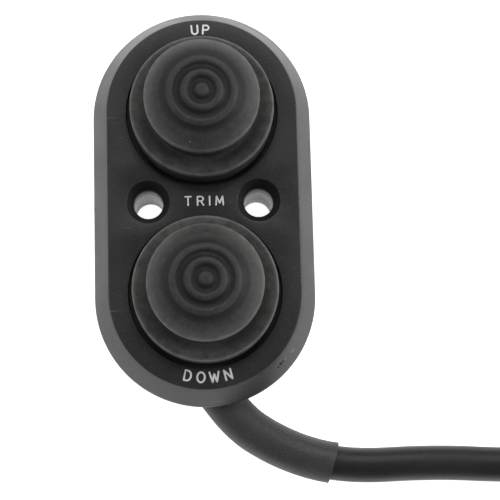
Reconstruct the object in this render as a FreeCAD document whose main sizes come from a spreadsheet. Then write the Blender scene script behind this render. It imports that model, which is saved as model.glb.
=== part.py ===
import FreeCAD, Part
import Sketcher
import math
import os
import re

# Boat trim tab switch: an oval two-button control with a round lead.
# The origin is the centre of the back face, +Z comes out of the front face,
# +Y points to the up button, and the lead leaves the -Y end near the back.

Vector = FreeCAD.Vector
doc = FreeCAD.newDocument("TrimTabSwitch")
sheet = doc.addObject("Spreadsheet::Sheet", "Sizes")

SIZES = {
    # Housing
    "end_offset": 18.5,           # centre of each rounded end, from the middle
    "edge_radius": 22.2,          # half width at the widest edge
    "face_inset": 3.1,            # how far the front face lies inside the widest edge
    "face_height": 17.0,          # front face above the back face
    "edge_land": 0.6,             # upright band of the widest edge
    "seam_height": 10.2,          # top of the rear case
    "seal_thickness": 0.5,
    "seal_width": 1.8,
    "face_wall": 2.6,             # front plate
    "side_wall": 2.0,             # bezel wall
    "hollow_inset": 1.66,         # how much the bezel's hollow narrows up to the plate
    "face_rounding": 0.5,
    "case_inset": 1.8,            # how far the back face lies inside the widest edge
    "case_draft": 5.0,            # degrees
    "case_wall": 2.4,
    "case_floor": 1.6,
    "case_rounding": 0.9,
    "tongue_wall": 1.3,           # inner lip of the rear case
    "boss_root": 0.5,             # how far a boss starts inside the wall that it stands on
    # Mounting and case screws
    "mount_offset": 11.07,        # mounting hole from the middle
    "mount_bore": 2.98,
    "mount_sink_radius": 4.25,
    "mount_sink_depth": 2.3,
    "mount_boss": 4.3,
    "screw_inset": 6.6,           # case screw from the widest edge
    "screw_along": 4.8,
    "screw_boss": 2.2,
    "screw_post": 2.6,
    "screw_shank": 0.85,
    "screw_head": 1.8,
    "screw_head_depth": 1.3,
    "screw_sink": 1.5,
    "screw_bite": 2.9,            # reach of the case screw into the bezel
    "fit_gap": 0.06,              # radial running clearance
    "free_gap": 0.3,              # clearance round pieces that pass each other
    # Buttons
    "button_inset": 0.2,          # button axis inside the centre of its rounded end
    "well_margin": 3.9,           # face left between a button well and the face's edge
    "skirt_gap": 0.85,            # between the well and the boot
    "flange_lip": 1.4,            # how far the boot's flange reaches under the face
    "flange_thickness": 1.0,
    "skirt_wall": 1.4,
    "shoulder_rise": 5.4,         # boot's shoulder above the face
    "shoulder_width": 4.2,        # from the boot's side to its neck
    "shoulder_dip": 1.1,
    "shoulder_rim": 0.3,
    "shoulder_land": 0.7,
    "moat_width": 0.8,            # flat floor round the neck
    "neck_wall": 1.6,
    "neck_tuck": 1.8,             # how far the neck reaches below the shoulder's dip
    "cap_lip": 1.15,              # how far the cap stands out past its neck
    "rim_rise": 12.7,             # rim of the cap above the face
    "dome_rise": 4.6,             # middle of the cap above its rim
    "dome_power": 3.2,            # how late the dome falls away towards the rim
    "cap_band": 1.5,              # straight side of the cap
    "cap_flare": 2.6,
    "cap_edge": 0.3,
    "ripple_start": 0.7,          # first crest from the middle of the cap
    "ripple_pitch": 2.8,
    "ripple_depth": 0.45,
    "head_rise": 0.6,             # plunger's head above the cap's rim
    "head_play": 0.2,
    "head_thickness": 1.8,
    "bead_reach": 0.6,
    "bead_height": 1.0,
    "stem_radius": 3.0,
    "stake_neck": 1.2,
    "stake_lip": 0.4,
    "stake_height": 0.5,
    "groove_depth": 0.6,
    "clip_reach": 1.6,
    "clip_thickness": 0.7,
    "clip_mouth": 1.9,
    "travel": 2.5,
    # Boot retainer
    "retainer_thickness": 1.4,
    "retainer_lap": 0.7,          # how far the plate lies on the case's inner lip
    "guide_wall": 1.5,
    "guide_height": 3.6,
    "spring_gap": 0.84,           # between the guide tube and the spring
    "spring_wire": 0.8,
    "spring_turns": 5.0,
    # Contacts
    "base_play": 0.37,            # between the base and the mounting tubes
    "base_overhang": 5.5,         # base past each button's axis
    "base_margin": 0.4,           # base left beside and beyond the strips
    "base_thickness": 2.3,
    "base_corner": 1.5,
    "stake_radius": 1.0,
    "stake_along": 13.0,
    "strip_width": 2.4,
    "strip_thickness": 0.5,
    "strip_overhang": 1.8,
    "contact_radius": 1.1,
    "contact_height": 0.55,
    "contact_gap": 0.05,          # left at full travel
    "bridge_contact": 0.6,
    "bridge_width": 4.4,
    "rivet_radius": 0.6,
    "rivet_head": 1.0,
    "rivet_head_height": 0.4,
    "rivet_along": 9.0,
    "tab_rivet_along": 6.0,
    "end_rivet_reach": 3.1,       # last rivet past the button's axis
    "up_tab_along": 10.0,
    # Lead
    "cable_radius": 3.5,
    "sleeve_radius": 4.2,
    "sleeve_length": 28.0,
    "outlet_across": 2.4,         # where the lead's axis crosses the end wall
    "outlet_inset": 0.1,          # of the same place, inside the foot of the case
    "outlet_height": 5.5,
    "outlet_turn": 28.0,          # degrees from -Y towards +X
    "sleeve_seat": 1.2,
    "sleeve_play": 0.5,           # room for the sleeve's bend on its inner side
    "wall_run": 5.0,              # how far a cut for the lead runs past the wall
    "clamp_inset": 8.0,
    "clamp_width": 2.6,
    "clamp_thickness": 1.2,
    "clamp_screw_across": 5.0,
    "clamp_screw_radius": 0.7,
    "clamp_head": 1.0,
    "clamp_head_height": 0.6,
    "cradle_height": 4.6,
    "core_radius": 0.75,
    # Lead put away beside the switch
    "coil_across": 116.0,
    "coil_along": -7.3,
    "coil_radius": 38.5,
    "tie_thickness": 1.0,
    "tie_width": 4.0,
    "tail_core_radius": 0.9,
    "terminal_radius": 1.9,
    "terminal_length": 11.0,
}

for row, (name, number) in enumerate(SIZES.items(), start=1):
    sheet.set("A%d" % row, name)
    sheet.set("B%d" % row, str(number))
    sheet.setAlias("B%d" % row, name)
doc.recompute()

CLOSE = 0.01                      # two places nearer than this are the same
ROUGH_RADIUS = 20.0               # a sketch's shape before its dimensions are bound
ROUGH_REACH = 18.0
WORDS = re.compile(r"\b(" + "|".join(SIZES) + r")\b")


def sized(text):
    """An expression in which every size name points into the sheet."""
    return WORDS.sub(r"Sizes.\1", text)


def size(name):
    return float(sheet.get(name))


# Levels that several pieces share, each above the back face
EDGE_HEIGHT = "(seam_height + seal_thickness + edge_land)"
PLATE_UNDERSIDE = "(face_height - face_wall)"
RETAINER_TOP = "(face_height - face_wall - flange_thickness)"
RETAINER_UNDERSIDE = "(face_height - face_wall - flange_thickness - retainer_thickness)"
BEZEL_FOOT = "(seam_height + seal_thickness)"
BASE_TOP = "(case_floor + base_thickness)"
STRIP_TOP = "(case_floor + base_thickness + strip_thickness)"
CONTACT_TOP = "(case_floor + base_thickness + strip_thickness + contact_height)"
STEM_FOOT = ("(case_floor + base_thickness + 2 * strip_thickness + contact_height"
             " + contact_gap + travel + bridge_contact)")
CLAMP_FOOT = "(outlet_height + cable_radius)"
SHOULDER_HEIGHT = "(face_height + shoulder_rise)"
RIM_HEIGHT = "(face_height + rim_rise)"
HEAD_TOP = "(face_height + rim_rise + head_rise)"

# Radii and distances that several pieces share
CASE_RADIUS = "(edge_radius - case_inset)"
CAVITY_RADIUS = "(edge_radius - case_inset - case_wall)"
TONGUE_RADIUS = "(edge_radius - case_inset - case_wall + tongue_wall)"
BUTTON_OFFSET = "(end_offset - button_inset)"
WELL_RADIUS = "(edge_radius - face_inset - well_margin)"
FLANGE_RADIUS = "(edge_radius - face_inset - well_margin + flange_lip)"
SKIRT_RADIUS = "(edge_radius - face_inset - well_margin - skirt_gap)"
NECK_RADIUS = "(edge_radius - face_inset - well_margin - skirt_gap - shoulder_width)"
CAP_RADIUS = "(%s + cap_lip)" % NECK_RADIUS
HEAD_RADIUS = "(%s - neck_wall - head_play)" % NECK_RADIUS
SPRING_RADIUS = "(stem_radius + fit_gap + guide_wall + spring_gap + spring_wire / 2)"
SCREW_ACROSS = "(edge_radius - screw_inset)"
OUTLET_ALONG = "(end_offset + edge_radius - case_inset - outlet_inset)"
BASE_HALF_WIDTH = "(mount_offset - mount_boss - base_play)"
BASE_HALF_LENGTH = "(end_offset + base_overhang)"
STRIP_ACROSS = "(%s - base_margin - strip_width / 2)" % BASE_HALF_WIDTH


def body(label):
    piece = doc.addObject("PartDesign::Body", label)
    piece.Label = label
    return piece


def sketch(piece, name, role="XY_Plane", height=None):
    """A sketch on one of the body's own origin planes, lifted by an expression."""
    drawing = piece.newObject("Sketcher::SketchObject", name)
    base = [plane for plane in piece.Origin.OriginFeatures if plane.Role == role][0]
    drawing.AttachmentSupport = (base, [""])
    drawing.MapMode = "FlatFace"
    if height is not None:
        drawing.setExpression("AttachmentOffset.Base.z", sized(height))
    return drawing


def dimension(drawing, kind, places, text, start):
    number = drawing.addConstraint(Sketcher.Constraint(kind, *places, start))
    name = "size%d" % number
    drawing.renameConstraint(number, name)
    drawing.setExpression("Constraints." + name, sized(text))


def circle(drawing, across, along, radius):
    item = drawing.addGeometry(Part.Circle(Vector(), Vector(0, 0, 1), 1.0))
    dimension(drawing, "DistanceX", (-1, 1, item, 3), across, 0.0)
    dimension(drawing, "DistanceY", (-1, 1, item, 3), along, 0.0)
    dimension(drawing, "Radius", (item,), radius, 1.0)


def outline(drawing, corners):
    """A closed outline of straight sides; each corner is a pair of expressions."""
    first = drawing.GeometryCount
    count = len(corners)
    spots = [Vector(ROUGH_RADIUS * math.cos(k * math.tau / count),
                    ROUGH_RADIUS * math.sin(k * math.tau / count)) for k in range(count)]
    for k in range(count):
        drawing.addGeometry(Part.LineSegment(spots[k], spots[(k + 1) % count]))
    for k in range(count):
        following = first + (k + 1) % count
        drawing.addConstraint(Sketcher.Constraint("Coincident", first + k, 2, following, 1))
    for k, (across, along) in enumerate(corners):
        dimension(drawing, "DistanceX", (-1, 1, first + k, 1), across, spots[k].x)
        dimension(drawing, "DistanceY", (-1, 1, first + k, 1), along, spots[k].y)


def rectangle(drawing, left, right, low, high):
    outline(drawing, [(left, low), (right, low), (right, high), (left, high)])


def stadium(drawing, radius):
    """Two half circles on the Y axis joined by straight sides."""
    r = ROUGH_RADIUS
    reach = ROUGH_REACH
    top = drawing.addGeometry(Part.ArcOfCircle(
        Part.Circle(Vector(0, reach), Vector(0, 0, 1), r), 0, math.pi))
    left = drawing.addGeometry(Part.LineSegment(Vector(-r, reach), Vector(-r, -reach)))
    low = drawing.addGeometry(Part.ArcOfCircle(
        Part.Circle(Vector(0, -reach), Vector(0, 0, 1), r), math.pi, math.tau))
    right = drawing.addGeometry(Part.LineSegment(Vector(r, -reach), Vector(r, reach)))
    for one, end, other, start in ((top, 2, left, 1), (left, 2, low, 1),
                                   (low, 2, right, 1), (right, 2, top, 1)):
        drawing.addConstraint(Sketcher.Constraint("Tangent", one, end, other, start))
    drawing.addConstraint(Sketcher.Constraint("PointOnObject", top, 3, -2))
    drawing.addConstraint(Sketcher.Constraint("Symmetric", top, 3, low, 3, -1, 1))
    drawing.addConstraint(Sketcher.Constraint("Equal", top, low))
    dimension(drawing, "Radius", (top,), radius, r)
    dimension(drawing, "DistanceY", (-1, 1, top, 3), "end_offset", reach)


def pad(piece, drawing, length, taper=None):
    feature = piece.newObject("PartDesign::Pad", drawing.Name + "_pad")
    feature.Profile = drawing
    feature.setExpression("Length", sized(length))
    if taper is not None:
        feature.setExpression("TaperAngle", sized(taper))
    drawing.Visibility = False
    doc.recompute()
    return feature


def pocket(piece, drawing, length, upward=False, taper=None):
    """A cut from the sketch's plane, down or, if upward, up."""
    feature = piece.newObject("PartDesign::Pocket", drawing.Name + "_pocket")
    feature.Profile = drawing
    feature.Reversed = upward
    feature.setExpression("Length", sized(length))
    if taper is not None:
        feature.setExpression("TaperAngle", sized(taper))
    drawing.Visibility = False
    doc.recompute()
    return feature


def turned(piece, name, corners):
    """A revolution about Z of an outline in the XZ plane."""
    drawing = sketch(piece, name, "XZ_Plane")
    outline(drawing, corners)
    feature = piece.newObject("PartDesign::Revolution", name + "_turn")
    feature.Profile = drawing
    feature.ReferenceAxis = (drawing, ["V_Axis"])
    feature.Angle = 360
    drawing.Visibility = False
    doc.recompute()
    return feature


def rounded(piece, feature, name, radius, wanted):
    """A fillet on those edges of a feature that the test accepts."""
    names = ["Edge%d" % (k + 1) for k, edge in enumerate(feature.Shape.Edges) if wanted(edge)]
    fillet = piece.newObject("PartDesign::Fillet", name)
    fillet.Base = (feature, names)
    fillet.setExpression("Radius", sized(radius))
    doc.recompute()
    return fillet


def at_level(edge, level):
    box = edge.BoundBox
    return abs(box.ZMin - level) < CLOSE and abs(box.ZMax - level) < CLOSE


# Front bezel: a drafted oval moulding, hollow behind its face plate
def make_front_bezel():
    piece = body("front_bezel")
    land = sketch(piece, "bezel_land", height=BEZEL_FOOT)
    stadium(land, "edge_radius")
    pad(piece, land, "edge_land")
    slope = sketch(piece, "bezel_slope", height=EDGE_HEIGHT)
    stadium(slope, "edge_radius")
    rise = "(face_height - %s)" % EDGE_HEIGHT
    crown = pad(piece, slope, rise, "-atan(face_inset / %s)" % rise)
    rounded(piece, crown, "bezel_face_rounding", "face_rounding",
            lambda edge: at_level(edge, size("face_height")))
    hollow = sketch(piece, "bezel_hollow", height=BEZEL_FOOT)
    stadium(hollow, "edge_radius - side_wall")
    depth = PLATE_UNDERSIDE + " - " + BEZEL_FOOT
    pocket(piece, hollow, depth, True, "-atan(hollow_inset / (%s))" % depth)
    bosses = sketch(piece, "bezel_bosses", height=BEZEL_FOOT)
    for side in ("", "-"):
        circle(bosses, side + "mount_offset", "0", "mount_boss")
    pad(piece, bosses, depth + " + boss_root")
    posts = sketch(piece, "bezel_posts", height=BEZEL_FOOT)
    for side in ("", "-"):
        for end in ("", "-"):
            circle(posts, side + SCREW_ACROSS, end + "screw_along", "screw_boss")
    pad(piece, posts, depth + " + boss_root")
    wells = sketch(piece, "button_wells", height="face_height")
    for end in ("", "-"):
        circle(wells, "0", end + BUTTON_OFFSET, WELL_RADIUS)
    pocket(piece, wells, "face_wall + boss_root")
    sinks = sketch(piece, "mount_sinks", height="face_height")
    for side in ("", "-"):
        circle(sinks, side + "mount_offset", "0", "mount_sink_radius")
    pocket(piece, sinks, "mount_sink_depth",
           taper="-atan((mount_sink_radius - mount_bore) / mount_sink_depth)")
    bores = sketch(piece, "mount_bores", height="face_height")
    for side in ("", "-"):
        circle(bores, side + "mount_offset", "0", "mount_bore")
    pocket(piece, bores, "face_height")
    pilots = sketch(piece, "screw_pilots", height=BEZEL_FOOT)
    for side in ("", "-"):
        for end in ("", "-"):
            circle(pilots, side + SCREW_ACROSS, end + "screw_along", "screw_shank + fit_gap")
    pocket(piece, pilots, "screw_bite + free_gap", True)
    return piece


def outlet_sketch(piece, name, inset):
    """A sketch square to the lead's axis, a distance inside its crossing of the wall."""
    drawing = sketch(piece, name, "XZ_Plane")
    drawing.AttachmentOffset = FreeCAD.Placement(
        Vector(), FreeCAD.Rotation(Vector(0, 1, 0), size("outlet_turn")))
    drawing.setExpression("AttachmentOffset.Rotation.Angle", sized("outlet_turn"))
    drawing.setExpression("AttachmentOffset.Base.x",
                          sized("outlet_across - (%s) * sin(outlet_turn)" % inset))
    drawing.setExpression("AttachmentOffset.Base.y", sized("outlet_height"))
    drawing.setExpression("AttachmentOffset.Base.z",
                          sized("%s - (%s) * cos(outlet_turn)" % (OUTLET_ALONG, inset)))
    return drawing


def along_lead(inset, across):
    """A place on the floor plan, given along and across the lead's axis."""
    turn = "outlet_turn"
    place_x = "outlet_across - (%s) * sin(%s) + (%s) * cos(%s)" % (inset, turn, across, turn)
    place_y = "-%s + (%s) * cos(%s) + (%s) * sin(%s)" % (OUTLET_ALONG, inset, turn, across, turn)
    return place_x, place_y


# Rear case: back shell with the mounting tubes, screw posts and the lead's outlet
def make_rear_case():
    piece = body("rear_case")
    shell = sketch(piece, "case_shell")
    stadium(shell, CASE_RADIUS)
    shell_pad = pad(piece, shell, "seam_height", "case_draft")
    rounded(piece, shell_pad, "case_back_rounding", "case_rounding",
            lambda edge: at_level(edge, 0))
    tongue = sketch(piece, "case_tongue", height="seam_height - boss_root")
    stadium(tongue, TONGUE_RADIUS)
    pad(piece, tongue, RETAINER_UNDERSIDE + " - seam_height + boss_root")
    hollow = sketch(piece, "case_hollow", height="case_floor")
    stadium(hollow, CAVITY_RADIUS)
    pocket(piece, hollow, "face_height", True)
    tubes = sketch(piece, "mount_tubes", height="case_floor - boss_root")
    for side in ("", "-"):
        circle(tubes, side + "mount_offset", "0", "mount_boss")
    pad(piece, tubes, BEZEL_FOOT + " - case_floor + boss_root")
    posts = sketch(piece, "screw_posts", height="case_floor - boss_root")
    for side in ("", "-"):
        for end in ("", "-"):
            circle(posts, side + SCREW_ACROSS, end + "screw_along", "screw_post")
    pad(piece, posts, BEZEL_FOOT + " - case_floor + boss_root")
    stakes = sketch(piece, "base_stakes", height="case_floor - boss_root")
    for end in ("", "-"):
        circle(stakes, "0", end + "stake_along", "stake_radius")
    pad(piece, stakes, "base_thickness + 2 * boss_root")
    cradle = sketch(piece, "lead_cradle", height="case_floor - boss_root")
    inner = "clamp_inset + clamp_width / 2 + fit_gap"
    outer = "clamp_inset - clamp_width / 2 - fit_gap"
    outline(cradle, [along_lead(inner, "clamp_screw_across"),
                     along_lead(inner, "-clamp_screw_across"),
                     along_lead(outer, "-clamp_screw_across"),
                     along_lead(outer, "clamp_screw_across")])
    pad(piece, cradle, "cradle_height - case_floor + boss_root")
    clamp_posts = sketch(piece, "clamp_posts", height="case_floor - boss_root")
    for across in ("clamp_screw_across", "-clamp_screw_across"):
        circle(clamp_posts, *along_lead("clamp_inset", across), "clamp_width / 2")
    pad(piece, clamp_posts, CLAMP_FOOT + " - case_floor + boss_root")
    bores = sketch(piece, "case_mount_bores")
    for side in ("", "-"):
        circle(bores, side + "mount_offset", "0", "mount_bore")
    pocket(piece, bores, "face_height", True)
    holes = sketch(piece, "case_screw_holes")
    sinks = sketch(piece, "case_screw_sinks")
    for side in ("", "-"):
        for end in ("", "-"):
            circle(holes, side + SCREW_ACROSS, end + "screw_along", "screw_shank + free_gap")
            circle(sinks, side + SCREW_ACROSS, end + "screw_along", "screw_head + free_gap")
    pocket(piece, holes, "face_height", True)
    pocket(piece, sinks, "screw_sink", True)
    clamp_holes = sketch(piece, "clamp_screw_holes", height=CLAMP_FOOT)
    for across in ("clamp_screw_across", "-clamp_screw_across"):
        circle(clamp_holes, *along_lead("clamp_inset", across), "clamp_screw_radius + fit_gap")
    pocket(piece, clamp_holes, CLAMP_FOOT + " - case_floor")
    passage = outlet_sketch(piece, "lead_passage", "clamp_inset + clamp_width")
    circle(passage, "0", "0", "cable_radius + fit_gap")
    pocket(piece, passage, "clamp_inset + clamp_width + wall_run", True)
    seat = outlet_sketch(piece, "sleeve_seat_cut", "sleeve_seat")
    circle(seat, "0", "0", "sleeve_radius + fit_gap")
    pocket(piece, seat, "sleeve_seat + wall_run", True)
    bend_room = outlet_sketch(piece, "sleeve_bend_cut", "sleeve_seat")
    circle(bend_room, "sleeve_play", "0", "sleeve_radius + fit_gap")
    pocket(piece, bend_room, "sleeve_seat + wall_run", True)
    return piece


# Case seal: a flat ring of soft rubber between the two shells
def make_case_seal():
    piece = body("case_seal")
    ring = sketch(piece, "seal_ring", height="seam_height")
    stadium(ring, TONGUE_RADIUS + " + fit_gap")
    stadium(ring, TONGUE_RADIUS + " + fit_gap + seal_width")
    pad(piece, ring, "seal_thickness")
    return piece


# Boot retainer: clamps both boots under the face and guides the plungers
def make_boot_retainer():
    piece = body("boot_retainer")
    plate = sketch(piece, "retainer_plate", height=RETAINER_UNDERSIDE)
    stadium(plate, CAVITY_RADIUS + " + retainer_lap")
    pad(piece, plate, "retainer_thickness")
    guides = sketch(piece, "guide_tubes", height=RETAINER_TOP + " - boss_root")
    bores = sketch(piece, "guide_bores", height=RETAINER_UNDERSIDE)
    for end in ("", "-"):
        circle(guides, "0", end + BUTTON_OFFSET, "stem_radius + fit_gap + guide_wall")
        circle(bores, "0", end + BUTTON_OFFSET, "stem_radius + fit_gap")
    pad(piece, guides, "guide_height + boss_root")
    pocket(piece, bores, "retainer_thickness + guide_height + boss_root", True)
    waist = sketch(piece, "retainer_waist", height=RETAINER_UNDERSIDE)
    near = "mount_offset - mount_boss - free_gap"
    reach = "screw_along + screw_boss + free_gap"
    rectangle(waist, near, "edge_radius", "-(%s)" % reach, reach)
    rectangle(waist, "-edge_radius", "-(%s)" % near, "-(%s)" % reach, reach)
    pocket(piece, waist, "retainer_thickness", True)
    return piece


# Boot skirt: the still part of the rubber boot, clamped by its flange
def make_boot_skirt(label, offset):
    piece = body(label)
    lip = NECK_RADIUS + " + free_gap"
    floor = SHOULDER_HEIGHT + " - shoulder_dip"
    turned(piece, label + "_outline", [
        (SKIRT_RADIUS + " - skirt_wall", RETAINER_TOP),
        (FLANGE_RADIUS, RETAINER_TOP),
        (FLANGE_RADIUS, PLATE_UNDERSIDE),
        (SKIRT_RADIUS, PLATE_UNDERSIDE),
        (SKIRT_RADIUS, SHOULDER_HEIGHT + " - shoulder_rim"),
        (SKIRT_RADIUS + " - shoulder_rim", SHOULDER_HEIGHT),
        (SKIRT_RADIUS + " - shoulder_land", SHOULDER_HEIGHT),
        (lip + " + moat_width", floor),
        (lip, floor),
        (lip, floor + " - skirt_wall"),
        (SKIRT_RADIUS + " - skirt_wall", SHOULDER_HEIGHT + " - skirt_wall"),
    ])
    piece.setExpression("Placement.Base.y", sized(offset))
    return piece


RIPPLE_STEPS = 9                  # quarter pitches of ripple, from the first crest out
DOME_SHARES = (0.74, 0.82, 0.9, 0.95)  # of the cap's radius, on its smooth outer part


def dome_level(reach):
    """The height of the cap's dome at a distance from its middle."""
    return "(%s + dome_rise * (1 - (%s / %s) ^ dome_power))" % (RIM_HEIGHT, reach, CAP_RADIUS)


# Button pad: the moving cap of the rubber boot, with ring ripples on its top
def make_button_pad(label, offset):
    piece = body(label)
    inside = NECK_RADIUS + " - neck_wall"
    head_foot = HEAD_TOP + " - head_thickness"
    corners = [("0", HEAD_TOP), ("0", dome_level("0"))]
    for step in range(RIPPLE_STEPS):
        reach = "(ripple_start + ripple_pitch * %d / 4)" % step
        sunk = (0, 1, 2, 1)[step % 4]
        corners.append((reach, dome_level(reach) + " - ripple_depth * %d / 2" % sunk))
    for share in DOME_SHARES:
        reach = "(%s * %s)" % (CAP_RADIUS, share)
        corners.append((reach, dome_level(reach)))
    corners += [
        (CAP_RADIUS + " - cap_edge", RIM_HEIGHT + " + cap_edge"),
        (CAP_RADIUS, RIM_HEIGHT),
        (CAP_RADIUS, RIM_HEIGHT + " - cap_band"),
        (NECK_RADIUS, RIM_HEIGHT + " - cap_band - cap_flare"),
        (NECK_RADIUS, SHOULDER_HEIGHT + " - shoulder_dip - neck_tuck"),
        (inside, SHOULDER_HEIGHT + " - shoulder_dip - neck_tuck"),
        (inside, head_foot + " - bead_height - bead_reach"),
        (inside + " - bead_reach", head_foot + " - bead_height"),
        (inside + " - bead_reach", head_foot),
        (inside, head_foot),
        (inside, HEAD_TOP),
    ]
    turned(piece, label + "_outline", corners)
    piece.setExpression("Placement.Base.y", sized(offset))
    return piece


# Plunger: a moulded stem with a broad head under the rubber cap
def make_plunger(label, offset):
    piece = body(label)
    clip_top = RETAINER_UNDERSIDE + " - free_gap"
    bar = STEM_FOOT + " - strip_thickness"
    groove = "stem_radius - groove_depth"
    turned(piece, label + "_outline", [
        ("0", bar + " - stake_height"),
        ("stake_neck + stake_lip", bar + " - stake_height"),
        ("stake_neck + stake_lip", bar),
        ("stake_neck", bar),
        ("stake_neck", STEM_FOOT),
        ("stem_radius", STEM_FOOT),
        ("stem_radius", clip_top + " - clip_thickness"),
        (groove, clip_top + " - clip_thickness"),
        (groove, clip_top),
        ("stem_radius", clip_top),
        ("stem_radius", HEAD_TOP + " - head_thickness"),
        (HEAD_RADIUS, HEAD_TOP + " - head_thickness"),
        (HEAD_RADIUS, HEAD_TOP),
        ("0", HEAD_TOP),
    ])
    piece.setExpression("Placement.Base.y", sized(offset))
    return piece


# Plunger clip: an open spring-steel ring in the stem's groove
def make_plunger_clip(label, offset):
    piece = body(label)
    ring = sketch(piece, label + "_ring",
                  height=RETAINER_UNDERSIDE + " - free_gap - clip_thickness")
    circle(ring, "0", "0", "stem_radius + clip_reach")
    circle(ring, "0", "0", "stem_radius - groove_depth")
    pad(piece, ring, "clip_thickness")
    mouth = sketch(piece, label + "_mouth", height=RETAINER_UNDERSIDE + " - free_gap")
    rectangle(mouth, "0", "stem_radius + clip_reach + boss_root", "-clip_mouth", "clip_mouth")
    pocket(piece, mouth, "clip_thickness")
    piece.setExpression("Placement.Base.y", sized(offset))
    return piece


# Return spring: square wire wound round the guide tube, up to the plunger's head
def make_return_spring(label, offset):
    axis = doc.addObject("Part::Helix", label + "_axis")
    length = "(%s - head_thickness - %s - spring_wire)" % (HEAD_TOP, RETAINER_TOP)
    axis.setExpression("Height", sized(length))
    axis.setExpression("Pitch", sized(length + " / spring_turns"))
    axis.setExpression("Radius", sized(SPRING_RADIUS))
    section = doc.addObject("Part::Plane", label + "_wire")
    section.setExpression("Length", sized("spring_wire"))
    section.setExpression("Width", sized("spring_wire"))
    section.Placement = FreeCAD.Placement(Vector(), FreeCAD.Rotation(Vector(1, 0, 0), 90))
    section.setExpression("Placement.Base.x", sized(SPRING_RADIUS + " - spring_wire / 2"))
    section.setExpression("Placement.Base.z", sized("-spring_wire / 2"))
    coil = doc.addObject("Part::Sweep", label)
    coil.Label = label
    coil.Sections = [section]
    coil.Spine = (axis, ["Edge1"])
    coil.Solid = True
    coil.Frenet = True
    coil.setExpression("Placement.Base.z", sized(RETAINER_TOP + " + spring_wire / 2"))
    coil.setExpression("Placement.Base.y", sized(offset))
    return coil


# Contact bridge: a bronze bar staked on the plunger, with a contact at each end
def make_contact_bridge(label, offset):
    piece = body(label)
    bar = sketch(piece, label + "_bar", height=STEM_FOOT + " - strip_thickness")
    reach = STRIP_ACROSS + " + strip_width / 2"
    rectangle(bar, "-(%s)" % reach, reach, "-bridge_width / 2", "bridge_width / 2")
    circle(bar, "0", "0", "stake_neck")
    pad(piece, bar, "strip_thickness")
    contacts = sketch(piece, label + "_contacts",
                      height=CONTACT_TOP + " + contact_gap + travel")
    for side in ("", "-"):
        circle(contacts, side + STRIP_ACROSS, "0", "contact_radius")
    pad(piece, contacts, "bridge_contact")
    piece.setExpression("Placement.Base.y", sized(offset))
    return piece


# Contact base: an insulating block staked to the case's floor
def make_contact_base():
    piece = body("contact_base")
    block = sketch(piece, "base_block", height="case_floor")
    rectangle(block, "-" + BASE_HALF_WIDTH, BASE_HALF_WIDTH,
              "-" + BASE_HALF_LENGTH, BASE_HALF_LENGTH)
    for end in ("", "-"):
        circle(block, "0", end + "stake_along", "stake_radius + fit_gap")
    for across, along in RIVETS:
        circle(block, across, along, "rivet_radius")
    slab = pad(piece, block, "base_thickness")
    end = size("end_offset") + size("base_overhang")
    rounded(piece, slab, "base_corners", "base_corner",
            lambda edge: edge.BoundBox.XLength + edge.BoundBox.YLength < CLOSE
            and abs(abs(edge.BoundBox.YMin) - end) < CLOSE)
    return piece


RIVETS = [
    ("-" + STRIP_ACROSS, "rivet_along"),
    ("-" + STRIP_ACROSS, "-rivet_along"),
    (STRIP_ACROSS, "rivet_along"),
    (STRIP_ACROSS, "-tab_rivet_along"),
    (STRIP_ACROSS, "-(end_offset + end_rivet_reach)"),
]


def make_strip(label, side, low, high, contacts):
    """A fixed contact strip on the base, with its raised contacts and rivet holes."""
    piece = body(label)
    strip = sketch(piece, label + "_strip", height=BASE_TOP)
    centre = side + STRIP_ACROSS
    rectangle(strip, centre + " - strip_width / 2", centre + " + strip_width / 2", low, high)
    for across, along in RIVETS:
        inside = {"common_bus": True, "up_contact": "end" not in along,
                  "down_contact": "end" in along}[label]
        if across == centre and inside:
            circle(strip, across, along, "rivet_radius")
    pad(piece, strip, "strip_thickness")
    studs = sketch(piece, label + "_studs", height=STRIP_TOP)
    for along in contacts:
        circle(studs, centre, along, "contact_radius")
    pad(piece, studs, "contact_height")
    return piece


def make_strips():
    near = "-" + BASE_HALF_LENGTH + " + base_margin"
    far = BUTTON_OFFSET + " + strip_overhang"
    return [
        make_strip("common_bus", "-", near, far, [BUTTON_OFFSET, "-" + BUTTON_OFFSET]),
        make_strip("up_contact", "", "-up_tab_along", far, [BUTTON_OFFSET]),
        make_strip("down_contact", "", near, "-" + BUTTON_OFFSET + " + strip_overhang",
                   ["-" + BUTTON_OFFSET]),
    ]


def pin(name, across, along, foot, height, radius):
    """A plain round pin whose foot, place and size follow the sheet."""
    rod = doc.addObject("Part::Cylinder", name)
    rod.setExpression("Radius", sized(radius))
    rod.setExpression("Height", sized(height))
    rod.setExpression("Placement.Base.x", sized(across))
    rod.setExpression("Placement.Base.y", sized(along))
    rod.setExpression("Placement.Base.z", sized(foot))
    return rod


def headed_pin(name, across, along, foot, shank, radius, head_foot, head_height, head_radius):
    fused = doc.addObject("Part::Fuse", name)
    fused.Base = pin(name + "_shank", across, along, foot, shank, radius)
    fused.Tool = pin(name + "_head", across, along, head_foot, head_height, head_radius)
    return fused


def group(label, members):
    joined = doc.addObject("Part::Compound", label)
    joined.Label = label
    joined.Links = members
    return joined


# Contact rivets: one through each strip and the base
def make_contact_rivets():
    rivets = []
    for number, (across, along) in enumerate(RIVETS):
        rivets.append(headed_pin(
            "rivet%d" % number, across, along, "case_floor", STRIP_TOP + " - case_floor",
            "rivet_radius", STRIP_TOP, "rivet_head_height", "rivet_head"))
    return group("contact_rivets", rivets)


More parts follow.
